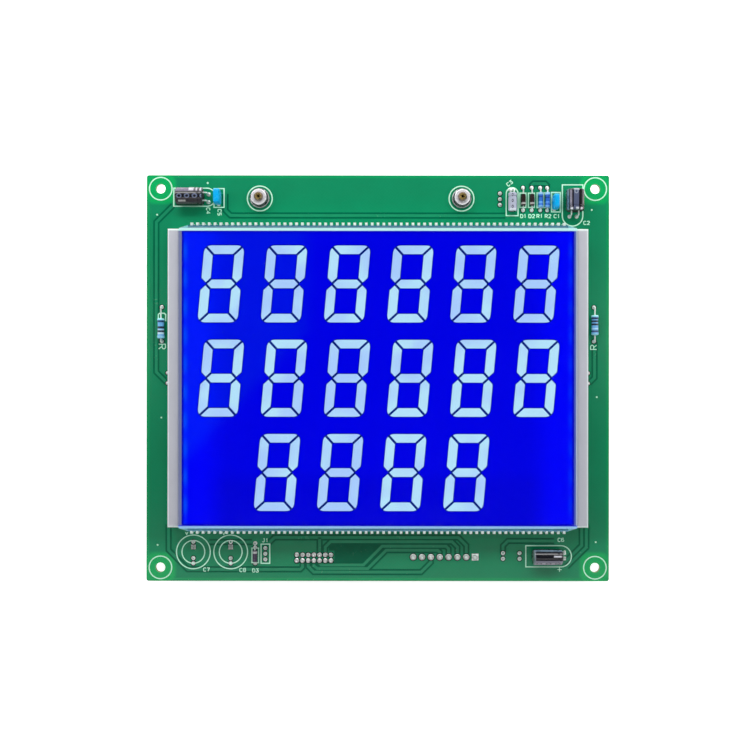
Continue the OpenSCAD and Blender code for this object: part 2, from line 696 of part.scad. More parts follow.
module clip_pin() {
    back = pin_out + pin_t / 2;
    under_z = glass_z - pin_t;
    grip = [[-finger_l, ledge_z], [touch, ledge_z], [touch, glass_z], [-finger_l, glass_z], [-finger_l, under_z],
        [back, under_z], [back, ledge_z], [back - pin_t, ledge_z + pin_t], [-finger_l, ledge_z + pin_t]];
    strip_of(grip, clip_w);
    translate([-stem_w / 2, back - pin_t, -lead_tail]) cube([stem_w, pin_t, under_z + lead_tail]);
}

module clip_row() {
    color([0.83, 0.84, 0.85]) for (x = pin_xs) translate([x, rear_edge, 0]) clip_pin();
}

module lcd_pins_top() { clip_row(); }
module lcd_pins_bottom() { mirror([0, 1, 0]) clip_row(); }

// The bead fills the ledge beside the front glass and lies over the clips' upper fingers
module resin_bead() {
    reach = ledge_w - touch;
    bead = concat([[-reach, ledge_z], [0, ledge_z]],
        [for (i = [0:5]) let (a = 90 * i / 5) [-reach * sin(a), ledge_z + pin_t + (resin_h - pin_t) * (1 - cos(a))]]);
    color([0.45, 0.75, 0.82]) difference() {
        translate([0, rear_edge, 0]) strip_of(bead, glass_w - 2 * ledge_corner[0]);
        for (x = pin_xs) translate([x - clip_w / 2 - touch, rear_edge - finger_l - touch, ledge_z - through])
            cube([clip_w + 2 * touch, finger_l + through, through + pin_t + touch]);
    }
}

module pin_resin_top() { resin_bead(); }
module pin_resin_bottom() { mirror([0, 1, 0]) resin_bead(); }

// Studs: the threaded ends of two rear standoffs, each with a washer and a nut on the front

module hex_block(flats, h) {
    cylinder(r = flats / sqrt(3), h = h, $fn = 6);
}

module standoffs() {
    tip_bevel = stud_r / 5;
    color([0.78, 0.62, 0.32]) at_places(studs) difference() {
        union() {
            translate([0, 0, -standoff_l]) hex_block(standoff_flats, standoff_l);
            rotate_extrude() polygon([[0, 0], [stud_r, 0], [stud_r, stud_end - tip_bevel],
                [stud_r - tip_bevel, stud_end], [0, stud_end]]);
        }
        translate([0, 0, stud_end - dimple[1]]) cylinder(r1 = dimple[0] / 2, r2 = dimple[0], h = dimple[1] + touch);
        translate([0, 0, -standoff_l - through]) cylinder(r = standoff_bore[0], h = standoff_bore[1] + through);
    }
}

module stud_washers() {
    color([0.78, 0.79, 0.8]) at_places(studs) translate([0, 0, board_t]) difference() {
        cylinder(r = washer_r, h = washer_t);
        translate([0, 0, -through]) cylinder(r = stud_r + bore_fit, h = washer_t + 2 * through);
    }
}

module stud_nuts() {
    corner_r = nut_flats / sqrt(3);
    bevel = corner_r - nut_flats / 2;
    color([0.86, 0.87, 0.88]) at_places(studs) translate([0, 0, nut_z]) difference() {
        intersection() {
            hex_block(nut_flats, nut_h);
            rotate_extrude() polygon([[0, 0], [corner_r + touch, 0], [corner_r + touch, nut_h - bevel / 2],
                [nut_flats / 2 - bevel / 2, nut_h], [0, nut_h]]);
        }
        translate([0, 0, -through]) cylinder(r = stud_r + touch, h = nut_h + 2 * through);
    }
}

// Electrolytic capacitors, lying on the board. Along X, a can runs back from its bung's end at zero.

module at_can(c) {
    translate([c[0][0], c[0][1], board_t + can_lift + c[2][0] / 2]) rotate([0, 0, c[1]])
        translate([-can_run, 0, 0]) children();
}

// The outer line of a can, or of its sleeve when t is the sleeve's thickness
function can_line(c, t) = let (r = can_r(c) + t, e = can_edge_r, far = -c[2][1]) concat(
    arc([-e, r - e - t], e + t, 0, 90, 4),
    [[groove_d - groove_at, r], [-groove_at, r - groove_d], [-groove_at - groove_d, r - groove_d],
     [-groove_at - 2 * groove_d, r]],
    arc([far + e, r - e - t], e + t, 90, 180, 4));

module can_of(c) {
    far = -c[2][1];
    score = [0.2, 0.25];
    color([0.75, 0.76, 0.77]) at_can(c) difference() {
        turned(concat([[-bung_l, 0], [-bung_l, bung_r(c)], [0, bung_r(c)]], can_line(c, 0), [[far, 0]]));
        for (turn = [0, 90]) rotate([turn, 0, 0]) translate([far - through, -score[1] / 2, -can_r(c) / 2])
            cube([through + score[0], score[1], can_r(c)]);
    }
}

module sleeve_of(c) {
    inner = can_line(c, 0);
    color([0.1, 0.1, 0.11]) at_can(c)
        turned(concat(can_line(c, sleeve_t), [for (i = [len(inner) - 1:-1:0]) inner[i]]));
}

module left_capacitor_can() { can_of(cans[0]); }
module small_capacitor_can() { can_of(cans[1]); }
module right_capacitor_can() { can_of(cans[2]); }
module lower_capacitor_can() { can_of(cans[3]); }
module left_capacitor_sleeve() { sleeve_of(cans[0]); }
module small_capacitor_sleeve() { sleeve_of(cans[1]); }
module right_capacitor_sleeve() { sleeve_of(cans[2]); }
module lower_capacitor_sleeve() { sleeve_of(cans[3]); }

module capacitor_bungs() {
    color([0.16, 0.16, 0.17]) for (c = cans) at_can(c) difference() {
        translate([-bung_l, 0, 0]) rotate([0, 90, 0]) cylinder(r = bung_r(c), h = bung_l);
        for (s = [-1, 1]) translate([-bung_l - through, s * can_pitch(c) / 2, 0]) rotate([0, 90, 0])
            cylinder(r = lead_r + touch, h = bung_l + 2 * through);
    }
}

module capacitor_leads() {
    color([0.8, 0.8, 0.8]) for (c = cans, s = [-1, 1]) at_can(c) translate([-bung_l, s * can_pitch(c) / 2, 0])
        bent_lead(bung_l + can_run, c[2][0] / 2 + can_lift + board_t + lead_tail);
}

// Dipped capacitors, standing on their leads: the common part of a face outline, an end outline and a top outline

module dipped_body(d) {
    t = d[1][0] / 2;
    w = d[1][1] / 2;
    h = d[1][2];
    edge = t - dip_flat;
    top_r = dip_corner_r[0];
    foot_r = dip_corner_r[1];
    face = concat(arc([w - foot_r, foot_r], foot_r, -90, 0), arc([w - top_r, h - top_r], top_r, 0, 90),
        arc([top_r - w, h - top_r], top_r, 90, 180), arc([foot_r - w, foot_r], foot_r, 180, 270));
    end = [for (p = round_rect([2 * t, h], edge)) p + [0, h / 2]];
    color([0.08, 0.55, 0.9]) translate([d[0][0], d[0][1], board_t + dip_lift]) intersection() {
        strip_of(face, 2 * t);
        rotate([0, 0, 90]) strip_of(end, 2 * w);
        linear_extrude(h) polygon(round_rect([2 * t, 2 * w], edge));
    }
}

module left_dipped_capacitor() { dipped_body(dips[0]); }
module right_dipped_capacitor() { dipped_body(dips[1]); }

module dipped_capacitor_leads() {
    color([0.8, 0.8, 0.8]) for (d = dips, s = [-1, 1])
        translate([d[0][0], d[0][1] + s * dip_gap(d) / 2, -lead_tail])
            cylinder(r = lead_r, h = lead_tail + board_t + dip_lift);
}

// Diodes and resistors, lying along Y

module at_axial(a) {
    translate([a[0][0], a[0][1], board_t + axial_lift + a[1][0] / 2]) rotate([0, 0, 90]) children();
}

module axial_leads(parts) {
    color([0.8, 0.8, 0.8]) for (a = parts, s = [-1, 1]) at_axial(a) {
        start = a[1][1] / 2 - s * a[3];
        rotate([0, 0, s == 1 ? 0 : 180]) translate([start, 0, 0])
            bent_lead(a[2] / 2 - start, a[1][0] / 2 + axial_lift + board_t + lead_tail);
    }
}

module diode_body(a) {
    x = a[1][1] / 2;
    r = a[1][0] / 2;
    color([0.16, 0.13, 0.12]) at_axial(a) translate([-a[3], 0, 0])
        turned([[-x, 0], [-x, r - diode_bevel], [diode_bevel - x, r], [x - diode_bevel, r], [x, r - diode_bevel], [x, 0]]);
}

module upper_diode_left() { diode_body(diodes[0]); }
module upper_diode_right() { diode_body(diodes[1]); }
module lower_diode() { diode_body(diodes[2]); }
module diode_leads() { axial_leads(diodes); }

// A body with a bulb at each end and a waist between
module resistor_body(a) {
    x = a[1][1] / 2;
    r = a[1][0] / 2;
    neck = 3 * waist_d;
    end = concat([[-x, 0]], arc([bulb_edge_r - x, r - bulb_edge_r], bulb_edge_r, 180, 90, 4),
        [[bulb_l - neck - x, r], [bulb_l - x, r - waist_d]]);
    color([0.2, 0.5, 0.8]) at_axial(a) translate([-a[3], 0, 0])
        turned(concat(end, flip([for (i = [len(end) - 1:-1:0]) end[i]], -1, 1)));
}

module small_resistor_left() { resistor_body(resistors[0]); }
module small_resistor_right() { resistor_body(resistors[1]); }
module side_resistor_left() { resistor_body(resistors[2]); }
module side_resistor_right() { resistor_body(resistors[3]); }
module resistor_leads() { axial_leads(resistors); }

// Connectors on the rear

module data_header_shroud() {
    length = (data_columns - 1) * grid + 2 * shroud_end;
    inside = [length - 2 * shroud_size[2], shroud_size[0] - 2 * shroud_size[2]];
    color([0.12, 0.12, 0.13]) behind_board() difference() {
        translate(data_middle) plate([length, shroud_size[0]], 0, shroud_size[1]);
        translate(data_middle) plate(inside, shroud_floor, shroud_size[1]);
        translate(data_middle - [0, shroud_size[0] / 2]) plate([key_w, 3 * shroud_size[2]], shroud_floor, shroud_size[1]);
        at_places(data_points) square_pin(data_pin_w + 2 * touch, -through, shroud_floor + through);
    }
}

module data_header_pins() {
    color([0.85, 0.72, 0.4]) at_places(data_points)
        square_pin(data_pin_w, pin_inset - shroud_size[1], board_t + pin_tip);
}

// The floor carries the pins, and a wall with a ridge locks the plug
module power_header_base() {
    length = (power_pins - 1) * power_pitch + 2 * power_end;
    front = power_base[0] / 2;
    ridge = lock_t / 2;
    side = [[-front, 0], [front, 0], [front, power_base[2] - ridge], [front - ridge, power_base[2]],
        [front - lock_t, power_base[2]], [front - lock_t - ridge, power_base[2] - ridge],
        [front - lock_t, power_base[2] - 2 * ridge], [front - lock_t, power_base[1]], [-front, power_base[1]]];
    color([0.92, 0.91, 0.86]) behind_board() difference() {
        translate(power_middle) strip_of(side, length);
        at_places(power_points) square_pin(power_pin_w + 2 * touch, -through, power_base[1] + through);
        for (i = [-1, 1]) translate(power_middle + [i * power_pitch * 2, front])
            plate([lock_t, 4 * lock_t], power_base[1], power_base[2]);
    }
}

module power_header_pins() {
    color([0.83, 0.84, 0.85]) at_places(power_points)
        square_pin(power_pin_w, pin_inset - power_base[2], board_t + pin_tip);
}

// Driver packages on the rear, with sides that draft both ways from the lead plane

module driver_body(x) {
    half = driver_size[0] / 2;
    draft = 0.15;
    lead_plane = driver_size[1] / 2;
    side = [[draft - half, 0], [half - draft, 0], [half, lead_plane], [half - draft, driver_size[1]],
        [draft - half, driver_size[1]], [-half, lead_plane]];
    dot_at = half - 1.5;
    color([0.13, 0.13, 0.14]) behind_board() translate([x, 0, driver_lift]) difference() {
        intersection() {
            strip_of(side, driver_size[0]);
            rotate([0, 0, 90]) strip_of(side, driver_size[0]);
        }
        translate([-dot_at, dot_at, driver_size[1] - 0.1]) cylinder(r = 0.6, h = through);
    }
}

module display_driver_1() { driver_body(driver_xs[0]); }
module display_driver_2() { driver_body(driver_xs[1]); }
module display_driver_3() { driver_body(driver_xs[2]); }
module display_driver_4() { driver_body(driver_xs[3]); }

module driver_lead() {
    t = driver_lead[2];
    top = driver_lift + driver_size[1] / 2 + t / 2;
    knee = driver_reach * 0.35;
    heel = driver_reach * 0.55;
    strip_of([[0, top - t], [knee - t, top - t], [heel - t, 0], [driver_reach, 0], [driver_reach, t], [heel, t],
        [knee, top], [0, top]], driver_lead[1]);
}

module display_driver_leads() {
    color([0.8, 0.81, 0.82]) behind_board() for (x = driver_xs, turn = [0:90:270], i = [0:driver_leads - 1])
        translate([x, 0, 0]) rotate([0, 0, turn])
            translate([(i - (driver_leads - 1) / 2) * driver_lead[0], driver_size[0] / 2, 0]) driver_lead();
}

// Regulator on the rear: a round body with one flat, on three leads that spread to the grid

module regulator_body() {
    color([0.14, 0.14, 0.15]) behind_board() translate([regulator_middle[0], regulator_middle[1], regulator_lift])
        linear_extrude(regulator_size[1]) intersection() {
            circle(r = regulator_size[0]);
            translate([-regulator_flat, -2 * regulator_size[0]]) square(4 * regulator_size[0]);
        }
}

module regulator_leads() {
    w = regulator_lead_w / 2;
    low = regulator_lift / 3;
    high = regulator_lift * 2 / 3;
    end = -board_t - pin_tip;
    color([0.8, 0.8, 0.8]) behind_board() for (i = [-1:1])
        translate(regulator_middle) strip_of([[i * grid - w, end], [i * grid + w, end], [i * grid + w, low],
            [i * grid / 2 + w, high], [i * grid / 2 + w, regulator_lift], [i * grid / 2 - w, regulator_lift],
            [i * grid / 2 - w, high], [i * grid - w, low]], 2 * w);
}

pcb();
plated_holes();
solder_joints();
backlight_frame();
backing_plate();
reflector_sheet();
light_guide();
diffuser_sheet();
led_strip_left();
led_strip_right();
led_chips();
backlight_pins();
rear_polarizer();
rear_glass();
cell_seal();
liquid_crystal();
digit_segments();
front_glass();
front_polarizer();
lcd_pins_top();
lcd_pins_bottom();
pin_resin_top();
pin_resin_bottom();
standoffs();
stud_washers();
stud_nuts();
left_capacitor_can();
small_capacitor_can();
right_capacitor_can();
lower_capacitor_can();
left_capacitor_sleeve();
small_capacitor_sleeve();
right_capacitor_sleeve();
lower_capacitor_sleeve();
capacitor_bungs();
capacitor_leads();
left_dipped_capacitor();
right_dipped_capacitor();
dipped_capacitor_leads();
upper_diode_left();
upper_diode_right();
lower_diode();
diode_leads();
small_resistor_left();
small_resistor_right();
side_resistor_left();
side_resistor_right();
resistor_leads();
data_header_shroud();
data_header_pins();
power_header_base();
power_header_pins();
display_driver_1();
display_driver_2();
display_driver_3();
display_driver_4();
display_driver_leads();
regulator_body();
regulator_leads();
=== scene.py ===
import bmesh
import bpy
import json
import math
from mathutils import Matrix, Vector

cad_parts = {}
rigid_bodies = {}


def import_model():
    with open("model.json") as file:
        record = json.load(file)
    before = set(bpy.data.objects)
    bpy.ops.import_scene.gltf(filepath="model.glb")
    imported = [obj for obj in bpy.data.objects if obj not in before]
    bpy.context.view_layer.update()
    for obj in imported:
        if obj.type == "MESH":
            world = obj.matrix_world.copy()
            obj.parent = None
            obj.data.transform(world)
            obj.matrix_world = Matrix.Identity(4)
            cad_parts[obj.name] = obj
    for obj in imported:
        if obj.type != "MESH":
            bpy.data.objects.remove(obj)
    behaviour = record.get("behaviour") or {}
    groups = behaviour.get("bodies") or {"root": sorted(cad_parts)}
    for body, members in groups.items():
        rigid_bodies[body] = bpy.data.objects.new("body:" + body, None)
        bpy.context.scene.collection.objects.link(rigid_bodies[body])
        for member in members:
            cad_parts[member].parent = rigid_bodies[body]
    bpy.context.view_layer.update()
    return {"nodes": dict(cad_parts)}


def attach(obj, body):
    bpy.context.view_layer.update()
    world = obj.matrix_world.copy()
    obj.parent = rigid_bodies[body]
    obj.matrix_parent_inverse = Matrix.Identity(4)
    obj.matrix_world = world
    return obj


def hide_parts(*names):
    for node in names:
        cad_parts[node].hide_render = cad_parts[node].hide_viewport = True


mm = 0.001   # sizes and places below are in millimetres
corners = [(side, end) for side in (-1, 1) for end in (-1, 1)]   # signs of the part's four corners
materials = {}

for spare in list(bpy.data.objects):
    bpy.data.objects.remove(spare)

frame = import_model()
nodes = frame["nodes"]
print("frame loaded:", len(nodes), "nodes")


# camera straight above the display, as in the photograph
shot = {"at": (-1.27, 1.43, 379.1), "lens": 40.48, "sensor": 36.0, "near": 10.0, "roll": 0.05}

cameraData = bpy.data.cameras.new("frontCamera")
cameraData.lens = shot["lens"]
cameraData.sensor_width = shot["sensor"]
cameraData.clip_start = shot["near"] * mm
frontCamera = bpy.data.objects.new("frontCamera", cameraData)
frontCamera.location = [level * mm for level in shot["at"]]
frontCamera.rotation_euler = (0, 0, math.radians(shot["roll"]))
bpy.context.scene.collection.objects.link(frontCamera)
bpy.context.scene.camera = frontCamera
bpy.context.scene.view_settings.view_transform = "Standard"
print("camera set")


# a flow is the output of a node, and plain sums of flows add the nodes for them
class flow:
    def __init__(self, socket):
        self.socket = socket

    def __add__(self, other):
        return calc("ADD", self, other)

    def __sub__(self, other):
        return calc("SUBTRACT", self, other)

    def __mul__(self, other):
        return calc("MULTIPLY", self, other)

    def __truediv__(self, other):
        return calc("DIVIDE", self, other)

    def __pow__(self, other):
        return calc("POWER", self, other)

    def __abs__(self):
        return calc("ABSOLUTE", self)

    def __neg__(self):
        return calc("MULTIPLY", self, -1.0)


def tone(levels):   # screen colour to linear
    shares = [level / 255 for level in levels]
    return (*[s / 12.92 if s <= 0.04045 else ((s + 0.055) / 1.055) ** 2.4 for s in shares], 1.0)


def feed(socket, value):   # a link from a flow, else a plain value, where three levels are a screen colour
    if isinstance(value, flow):
        socket.id_data.links.new(value.socket, socket)
    elif isinstance(value, tuple) and len(value) == 3:
        socket.default_value = tone(value)
    else:
        socket.default_value = value


def treeOf(*values):   # tree of the first flow among some values
    return next(value.socket.id_data for value in values if isinstance(value, flow))


def addNode(tree, kind, **settings):
    node = tree.nodes.new(kind)
    for key, value in settings.items():
        setattr(node, key, value)
    return node


def calc(operation, first, second=0.0, clamp=False):
    node = addNode(treeOf(first, second), "ShaderNodeMath", operation=operation, use_clamp=clamp)
    feed(node.inputs[0], first)
    feed(node.inputs[1], second)
    return flow(node.outputs[0])


def ease(value, start, end, low=0.0, high=1.0):   # soft step between two places or levels
    node = addNode(treeOf(value), "ShaderNodeMapRange", interpolation_type="SMOOTHSTEP")
    for socket, level in zip(node.inputs[:5], (value, start, end, low, high)):
        feed(socket, level)
    return flow(node.outputs[0])


def mixTone(factor, first, second):
    node = addNode(treeOf(factor), "ShaderNodeMix", data_type="RGBA")
    for i, value in ((0, factor), (6, first), (7, second)):
        feed(node.inputs[i], value)
    return flow(node.outputs[2])


def levelTone(level, shade):   # the same colour, lighter or darker
    node = addNode(treeOf(level), "ShaderNodeHueSaturation")
    feed(node.inputs["Value"], level)
    feed(node.inputs["Color"], shade)
    return flow(node.outputs[0])


def spotOn(tree, stretch=None):   # place on the part as a vector, in metres before it is stretched
    vector = addNode(tree, "ShaderNodeTexCoord").outputs["Object"]
    if stretch:
        mapping = addNode(tree, "ShaderNodeMapping")
        mapping.inputs["Scale"].default_value = stretch
        tree.links.new(vector, mapping.inputs["Vector"])
        vector = mapping.outputs["Vector"]
    return vector


def splitUp(tree, vector):
    node = addNode(tree, "ShaderNodeSeparateXYZ")
    tree.links.new(vector, node.inputs[0])
    return [flow(socket) for socket in node.outputs]


def place(tree):   # x, y, z on the part, in millimetres
    return splitUp(tree, spotOn(tree, (1 / mm, 1 / mm, 1 / mm)))


def noiseAt(tree, scale, detail, stretch=None):
    noise = addNode(tree, "ShaderNodeTexNoise")
    feed(noise.inputs["Scale"], scale)
    noise.inputs["Detail"].default_value = detail
    tree.links.new(spotOn(tree, stretch), noise.inputs["Vector"])
    return flow(noise.outputs[0])


def bump(height, strength, distance):
    node = addNode(treeOf(height), "ShaderNodeBump")
    node.inputs["Strength"].default_value = strength
    node.inputs["Distance"].default_value = distance * mm
    feed(node.inputs["Height"], height)
    return flow(node.outputs["Normal"])


def startMaterial(name):
    material = bpy.data.materials.new(name)
    material.use_nodes = True
    materials[name] = material
    return material.node_tree, material.node_tree.nodes["Principled BSDF"].inputs


def startGroup(name, takes, gives):
    group = bpy.data.node_groups.new(name, "ShaderNodeTree")
    for way, sockets in (("INPUT", takes), ("OUTPUT", gives)):
        for label, kind in sockets.items():
            group.interface.new_socket(name=label, in_out=way, socket_type=kind)
    given = group.nodes.new("NodeGroupInput").outputs
    result = group.nodes.new("NodeGroupOutput").inputs
    return group, {label: flow(given[label]) for label in takes}, result


def useGroup(tree, group, **values):
    node = addNode(tree, "ShaderNodeGroup", node_tree=group)
    for label, value in values.items():
        feed(node.inputs[label], value)
    return {socket.name: flow(socket) for socket in node.outputs}


number = "NodeSocketFloat"
colour = "NodeSocketColor"
black = (0, 0, 0, 1)


# uneven colour: cloudy patches and fine specks over one tone
def makeMottle():
    takes = {"Tone": colour, "Shift": number, "Scale": number}
    group, given, result = startGroup("mottle", takes, {"Colour": colour})
    cloud = noiseAt(group, given["Scale"], 4.0)
    speck = noiseAt(group, given["Scale"] * 9.0, 1.0)
    swing = (cloud * 0.7 + speck * 0.3 - 0.5) * (given["Shift"] * 4.0)
    feed(result["Colour"], levelTone(swing + 1.0, given["Tone"]))
    return group


# fine grain for roughness and relief
def makeGrain():
    takes = {"Scale": number, "Low": number, "High": number}
    group, given, result = startGroup("grain", takes, {"Roughness": number, "Height": number})
    grains = noiseAt(group, given["Scale"], 3.0)
    paintedLightPatches = noiseAt(group, given["Scale"] * 0.12, 2.0)
    feed(result["Roughness"], ease(grains * 0.5 + paintedLightPatches * 0.5, 0.32, 0.68, given["Low"], given["High"]))
    feed(result["Height"], grains)
    return group


# metal that has been handled: dull patches over a brighter tone, with fine scratches
def makeWornMetal():
    takes = {"Tone": colour, "Dull": colour, "Scale": number, "Low": number, "High": number}
    gives = {"Colour": colour, "Roughness": number, "Height": number}
    group, given, result = startGroup("wornMetal", takes, gives)
    paintedLightPatches = ease(noiseAt(group, given["Scale"], 3.0), 0.4, 0.72)
    scratches = noiseAt(group, given["Scale"] * 3.0, 2.0, (1.0, 7.0, 1.0))
    feed(result["Colour"], mixTone(paintedLightPatches, given["Tone"], given["Dull"]))
    feed(result["Roughness"], ease(paintedLightPatches * 0.6 + scratches * 0.4, 0.1, 0.9, given["Low"], given["High"]))
    feed(result["Height"], scratches)
    return group


# one band across a body: 1 inside, 0 outside, with soft sides
def makeBand():
    takes = {"Along": number, "Middle": number, "Half": number, "Soft": number}
    group, given, result = startGroup("band", takes, {"Mask": number})
    over = (abs(given["Along"] - given["Middle"]) - given["Half"]) / given["Soft"]
    feed(result["Mask"], calc("SUBTRACT", 1.0, over, True))
    return group


# printed sleeve: a stripe along the can, with a row of hollow ovals in it
def makeSleevePrint():
    takes = {label: number for label in ("Along", "Angle", "Half", "Pitch", "Long", "Wide", "Hollow")}
    takes.update({label: colour for label in ("Sleeve", "Stripe", "Mark")})
    group, given, result = startGroup("sleevePrint", takes, {"Colour": colour})
    turned = abs(given["Angle"])
    stripe = ease(turned, given["Half"], given["Half"] * 1.15, 1.0, 0.0)
    along = (calc("FRACT", given["Along"] / given["Pitch"]) - 0.5) * given["Pitch"]
    reach = (abs(along) / given["Long"]) ** 2.0 + (turned / given["Wide"]) ** 2.0
    oval = ease(reach, 0.75, 1.05, 1.0, 0.0)
    hole = ease(reach, given["Hollow"] * 0.6, given["Hollow"], 1.0, 0.0)
    striped = mixTone(stripe, given["Sleeve"], given["Stripe"])
    feed(result["Colour"], mixTone(calc("SUBTRACT", oval, hole, True), striped, given["Mark"]))
    return group


mottle = makeMottle()
grain = makeGrain()
wornMetal = makeWornMetal()
band = makeBand()
sleevePrint = makeSleevePrint()
print("shader groups made")


def bandAt(along, middle, half, soft):   # mask of one band
    return useGroup(treeOf(along), band, Along=along, Middle=middle, Half=half, Soft=soft)["Mask"]


def addMottle(tree, base, look):
    return useGroup(tree, mottle, Tone=base, Shift=look["shift"], Scale=look["scale"])["Colour"]


def addGrain(tree, shader, look):   # sets the roughness and gives the height for a relief
    low, high = look["rough"]
    fine = useGroup(tree, grain, Scale=look["grain"], Low=low, High=high)
    feed(shader["Roughness"], fine["Roughness"])
    return fine["Height"]


# finish of the coated and moulded materials: uneven colour, grain and a little relief
def addCoat(tree, shader, base, look):
    feed(shader["Base Color"], addMottle(tree, base, look))
    feed(shader["Normal"], bump(addGrain(tree, shader, look), look["relief"], 0.1))
    feed(shader["Specular IOR Level"], look.get("gloss", 0.5))


lacquer = {"shift": 0.08, "scale": 300.0, "grain": 900.0, "rough": (0.255, 0.275), "relief": 0.008}
coatLooks = {
    "whiteInk": {"tone": (200, 255, 228), "shift": 0.05, "scale": 900.0, "grain": 2500.0, "rough": (0.5, 0.7),
                 "relief": 0.05},
    "gapGreen": {**lacquer, "tone": (0, 100, 70), "gloss": 0.15},
    "clearGreen": {**lacquer, "tone": (0, 52, 38), "gloss": 0.1},
    "trackGreen": {**lacquer, "tone": (20, 142, 98), "gloss": 0.4, "shift": 0.06},
    "whiteFilm": {"tone": (240, 241, 239), "shift": 0.02, "scale": 120.0, "grain": 900.0,
                  "rough": (0.5, 0.65), "relief": 0.04},
    "ledStrip": {"tone": (226, 230, 226), "shift": 0.03, "scale": 200.0, "grain": 900.0, "rough": (0.4, 0.55),
                 "relief": 0.04},
    # painted light: the resin on the lower ledge is given a lighter tone than on the upper one
    "tealResin": {"tone": (34, 108, 128), "lower": (92, 156, 182), "shift": 0.12, "scale": 320.0,
                  "grain": 700.0, "rough": (0.16, 0.3), "relief": 0.12},
    "thinResin": {"tone": (122, 196, 204), "shift": 0.1, "scale": 400.0, "grain": 700.0, "rough": (0.16, 0.3),
                  "relief": 0.06},
    "bungRubber": {"tone": (34, 32, 34), "shift": 0.1, "scale": 400.0, "grain": 900.0, "rough": (0.5, 0.68),
                   "relief": 0.1},
    "dippedBlue": {"tone": (0, 178, 246), "shift": 0.08, "scale": 260.0, "grain": 500.0, "rough": (0.2, 0.34),
                   "relief": 0.1},
    "headerBlack": {"tone": (26, 26, 28), "shift": 0.08, "scale": 300.0, "grain": 1200.0,
                    "rough": (0.42, 0.58), "relief": 0.12},
    "headerIvory": {"tone": (226, 222, 208), "shift": 0.04, "scale": 220.0, "grain": 1000.0,
                    "rough": (0.38, 0.52), "relief": 0.08},
    "circuitEpoxy": {"tone": (30, 30, 32), "shift": 0.1, "scale": 500.0, "grain": 1800.0,
                     "rough": (0.5, 0.66), "relief": 0.18},
}


def coatedMaterial(name, look):
    tree, shader = startMaterial(name)
    base = look["tone"]
    if "lower" in look:   # another tone on the lower half of the part, as painted light
        base = mixTone(ease(place(tree)[1], -10, 10), look["lower"], base)
    addCoat(tree, shader, base, look)


for name, look in coatLooks.items():
    coatedMaterial(name, look)


# metals: some have rings of tone about the studs, full beyond the second radius, or within a lesser one;
# these are mostly painted shade and painted highlight
studPlaces = [(-52.9, 80.4), (37.4, 80.4)]
metalLooks = {
    "tinnedMetal": {"tone": (244, 255, 250), "dull": (216, 226, 220), "scale": 700.0, "rough": (0.24, 0.4),
                    "relief": 0.02, "metal": 0.35},
    "clipMetal": {"tone": (240, 255, 249), "dull": (220, 240, 232), "scale": 900.0, "rough": (0.34, 0.5),
                  "relief": 0.03, "metal": 0.35},
    "solderMetal": {"tone": (250, 255, 252), "dull": (226, 240, 232), "scale": 900.0, "rough": (0.14, 0.24),
                    "relief": 0.015, "metal": 0.42},
    "padMetal": {"tone": (250, 255, 252), "dull": (206, 212, 208), "scale": 900.0, "rough": (0.3, 0.44),
                 "relief": 0.015, "metal": 0.1},
    "canMetal": {"tone": (222, 223, 225), "dull": (188, 190, 194), "scale": 600.0, "rough": (0.24, 0.4),
                 "relief": 0.05, "metal": 1.0},
    # stud: a grey-brown outer ring on its end and painted shade in its dimple
    "turnedBrass": {"tone": (228, 200, 126), "dull": (176, 146, 82), "scale": 500.0, "rough": (0.24, 0.4),
                    "relief": 0.012, "metal": 0.9,
                    "rings": [(1.3, 1.6, (146, 128, 116)), (0.7, 0.35, (34, 28, 12))]},
    # nut: painted shade on its corners, where it meets the washer
    "platedNut": {"tone": (250, 248, 252), "dull": (230, 228, 232), "scale": 420.0, "rough": (0.22, 0.36),
                  "relief": 0.006, "metal": 0.3, "rings": [(3.4, 3.55, (70, 80, 78))]},
    # washer: a dark tone as painted shade under the nut, a painted highlight on its rim and a green-grey ring
    # outside it
    "platedWasher": {"tone": (46, 60, 56), "dull": (36, 50, 46), "scale": 420.0, "rough": (0.24, 0.38),
                     "relief": 0.008, "metal": 0.5,
                     "rings": [(3.85, 3.95, (232, 246, 240)), (4.3, 4.4, (70, 110, 92))]},
    "headerPin": {"tone": (226, 190, 112), "dull": (196, 158, 84), "scale": 700.0, "rough": (0.2, 0.34),
                  "relief": 0.03, "metal": 0.7, "tinned": (246, 246, 244)},
}


def addRings(shade, rings):
    x, y, z = place(treeOf(shade))
    reach = calc("MINIMUM", *[calc("SQRT", abs(x - u) ** 2.0 + abs(y - v) ** 2.0) for u, v in studPlaces])
    front = ease(z, 1.0, 1.6)
    for start, end, overlayTone in rings:
        share = ease(reach, *sorted((start, end)), float(end < start), float(end > start))
        shade = mixTone(share * front, shade, overlayTone)
    return shade


def metalMaterial(name, look):
    tree, shader = startMaterial(name)
    low, high = look["rough"]
    worn = useGroup(tree, wornMetal, Tone=look["tone"], Dull=look["dull"], Scale=look["scale"],
                    Low=low, High=high)
    shade = worn["Colour"]
    if "rings" in look:
        shade = addRings(shade, look["rings"])
    if "tinned" in look:   # gold in the connector, tinned by the solder at the front of the board
        shade = mixTone(ease(place(tree)[2], -0.2, 0.6), shade, look["tinned"])
    feed(shader["Base Color"], shade)
    feed(shader["Roughness"], worn["Roughness"])
    feed(shader["Normal"], bump(worn["Height"], look["relief"], 0.05))
    feed(shader["Metallic"], look["metal"])


for name, look in metalLooks.items():
    metalMaterial(name, look)


